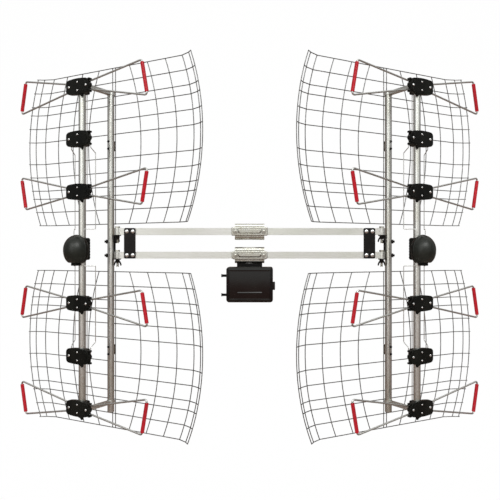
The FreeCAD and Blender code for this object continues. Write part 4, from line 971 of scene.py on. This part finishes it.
def make_studio():
    """A pale floor that curves up into a pale wall, darker in reflections, and soft lamps."""
    floor_z, sweep_y = cad_box[0].z - FLOOR_DROP, WALL_Y - SWEEP_R
    profile = [(NEAR_Y, floor_z), (sweep_y, floor_z)]
    profile += [(sweep_y + SWEEP_R * math.sin(a), floor_z + SWEEP_R * (1 - math.cos(a)))
                for a in (math.pi / 2 * i / SWEEP_STEPS for i in range(1, SWEEP_STEPS + 1))]
    profile.append((WALL_Y, floor_z + WALL_TALL))
    vertices = [(x, y, z) for y, z in profile for x in (-HALF_WIDE, HALF_WIDE)]
    faces = [(2 * i, 2 * i + 1, 2 * i + 3, 2 * i + 2) for i in range(len(profile) - 1)]
    mesh = bpy.data.meshes.new("studio_sweep")
    mesh.from_pydata(vertices, [], faces)
    for face in mesh.polygons:
        face.use_smooth = True
    sweep = bpy.data.objects.new("studio_sweep", mesh)
    bpy.context.scene.collection.objects.link(sweep)
    material, tree, shader = new_material("studio_paper")
    path = add(tree, "ShaderNodeLightPath").outputs
    seen, mirrored = path["Is Camera Ray"], path["Is Glossy Ray"]
    paper = mixed(tree, noise(tree, 3, 3), rgb(0.78, 0.78, 0.78), rgb(0.84, 0.84, 0.84))
    paper = mixed(tree, mirrored, paper, rgb(0.20, 0.155, 0.13))
    glow = mixed(tree, mirrored, rgb(0.25, 0.25, 0.25), rgb(0.05, 0.03, 0.025))
    connect(tree, shader, {
        "Base Color": mixed(tree, seen, paper, rgb(0.03, 0.03, 0.03)),
        "Roughness": 0.9, "Specular IOR Level": 0.0, "Emission Strength": 1.0,
        "Emission Color": mixed(tree, seen, glow, rgb(0.97, 0.97, 0.97))})
    mesh.materials.append(material)
    make_lamp("key_lamp", (0.9, -2.6, 2.2), size=(1.8, 1.2), power=26)
    make_lamp("fill_lamp", (-1.6, -2.8, 0.6), size=(1.4, 1.8), power=8)
    make_lamp("rim_lamp", (0, 1.6, 2.6), size=(2.4, 1.0), power=12)
    bpy.context.scene.world = make_world()
    bpy.context.scene.view_settings.view_transform = "Standard"


def make_world():
    """Grey above a low horizon and brown below it, for light and reflections; the camera sees
    plain white, and reflections also see a bright window in front."""
    world = bpy.data.worlds.new("studio")
    world.use_nodes = True
    tree = world.node_tree
    background = tree.nodes["Background"]
    way = add(tree, "ShaderNodeTexCoord").outputs["Generated"]
    split = add(tree, "ShaderNodeSeparateXYZ", {"Vector": way})
    side = add(tree, "ShaderNodeMath", {0: split.outputs["X"]}, operation="ABSOLUTE").outputs[0]
    upper = mixed(tree, rescaled(tree, side, 0, 1, 0.55, 0.95), rgb(0.94, 0.96, 0.93),
                  rgb(0.34, 0.34, 0.34))
    lower = mixed(tree, rescaled(tree, side, 0, 1, 0.45, 0.9), rgb(0.34, 0.20, 0.165),
                  rgb(0.16, 0.145, 0.135))
    rise = rescaled(tree, split.outputs["Z"], 0, 1, *HORIZON)
    path = add(tree, "ShaderNodeLightPath").outputs
    seen, mirrored = path["Is Camera Ray"], path["Is Glossy Ray"]
    window = ramp(tree, split.outputs["Z"], [(0.42, 0), (0.47, 1), (0.60, 1), (0.65, 0)])
    ahead = rescaled(tree, split.outputs["Y"], 1, 0, -0.3, -0.2)
    for limit in (ahead, mirrored, rescaled(tree, side, 1, 0, 0.45, 0.55)):
        window = mixed(tree, 1.0, window, limit, "MULTIPLY")
    around = mixed(tree, seen, mixed(tree, rise, lower, upper), rgb(1.1, 1.1, 1.1))
    connect(tree, background, {"Color": around, "Strength": rescaled(tree, window, 0.9, 4.2)})
    return world


make_camera()
make_studio()
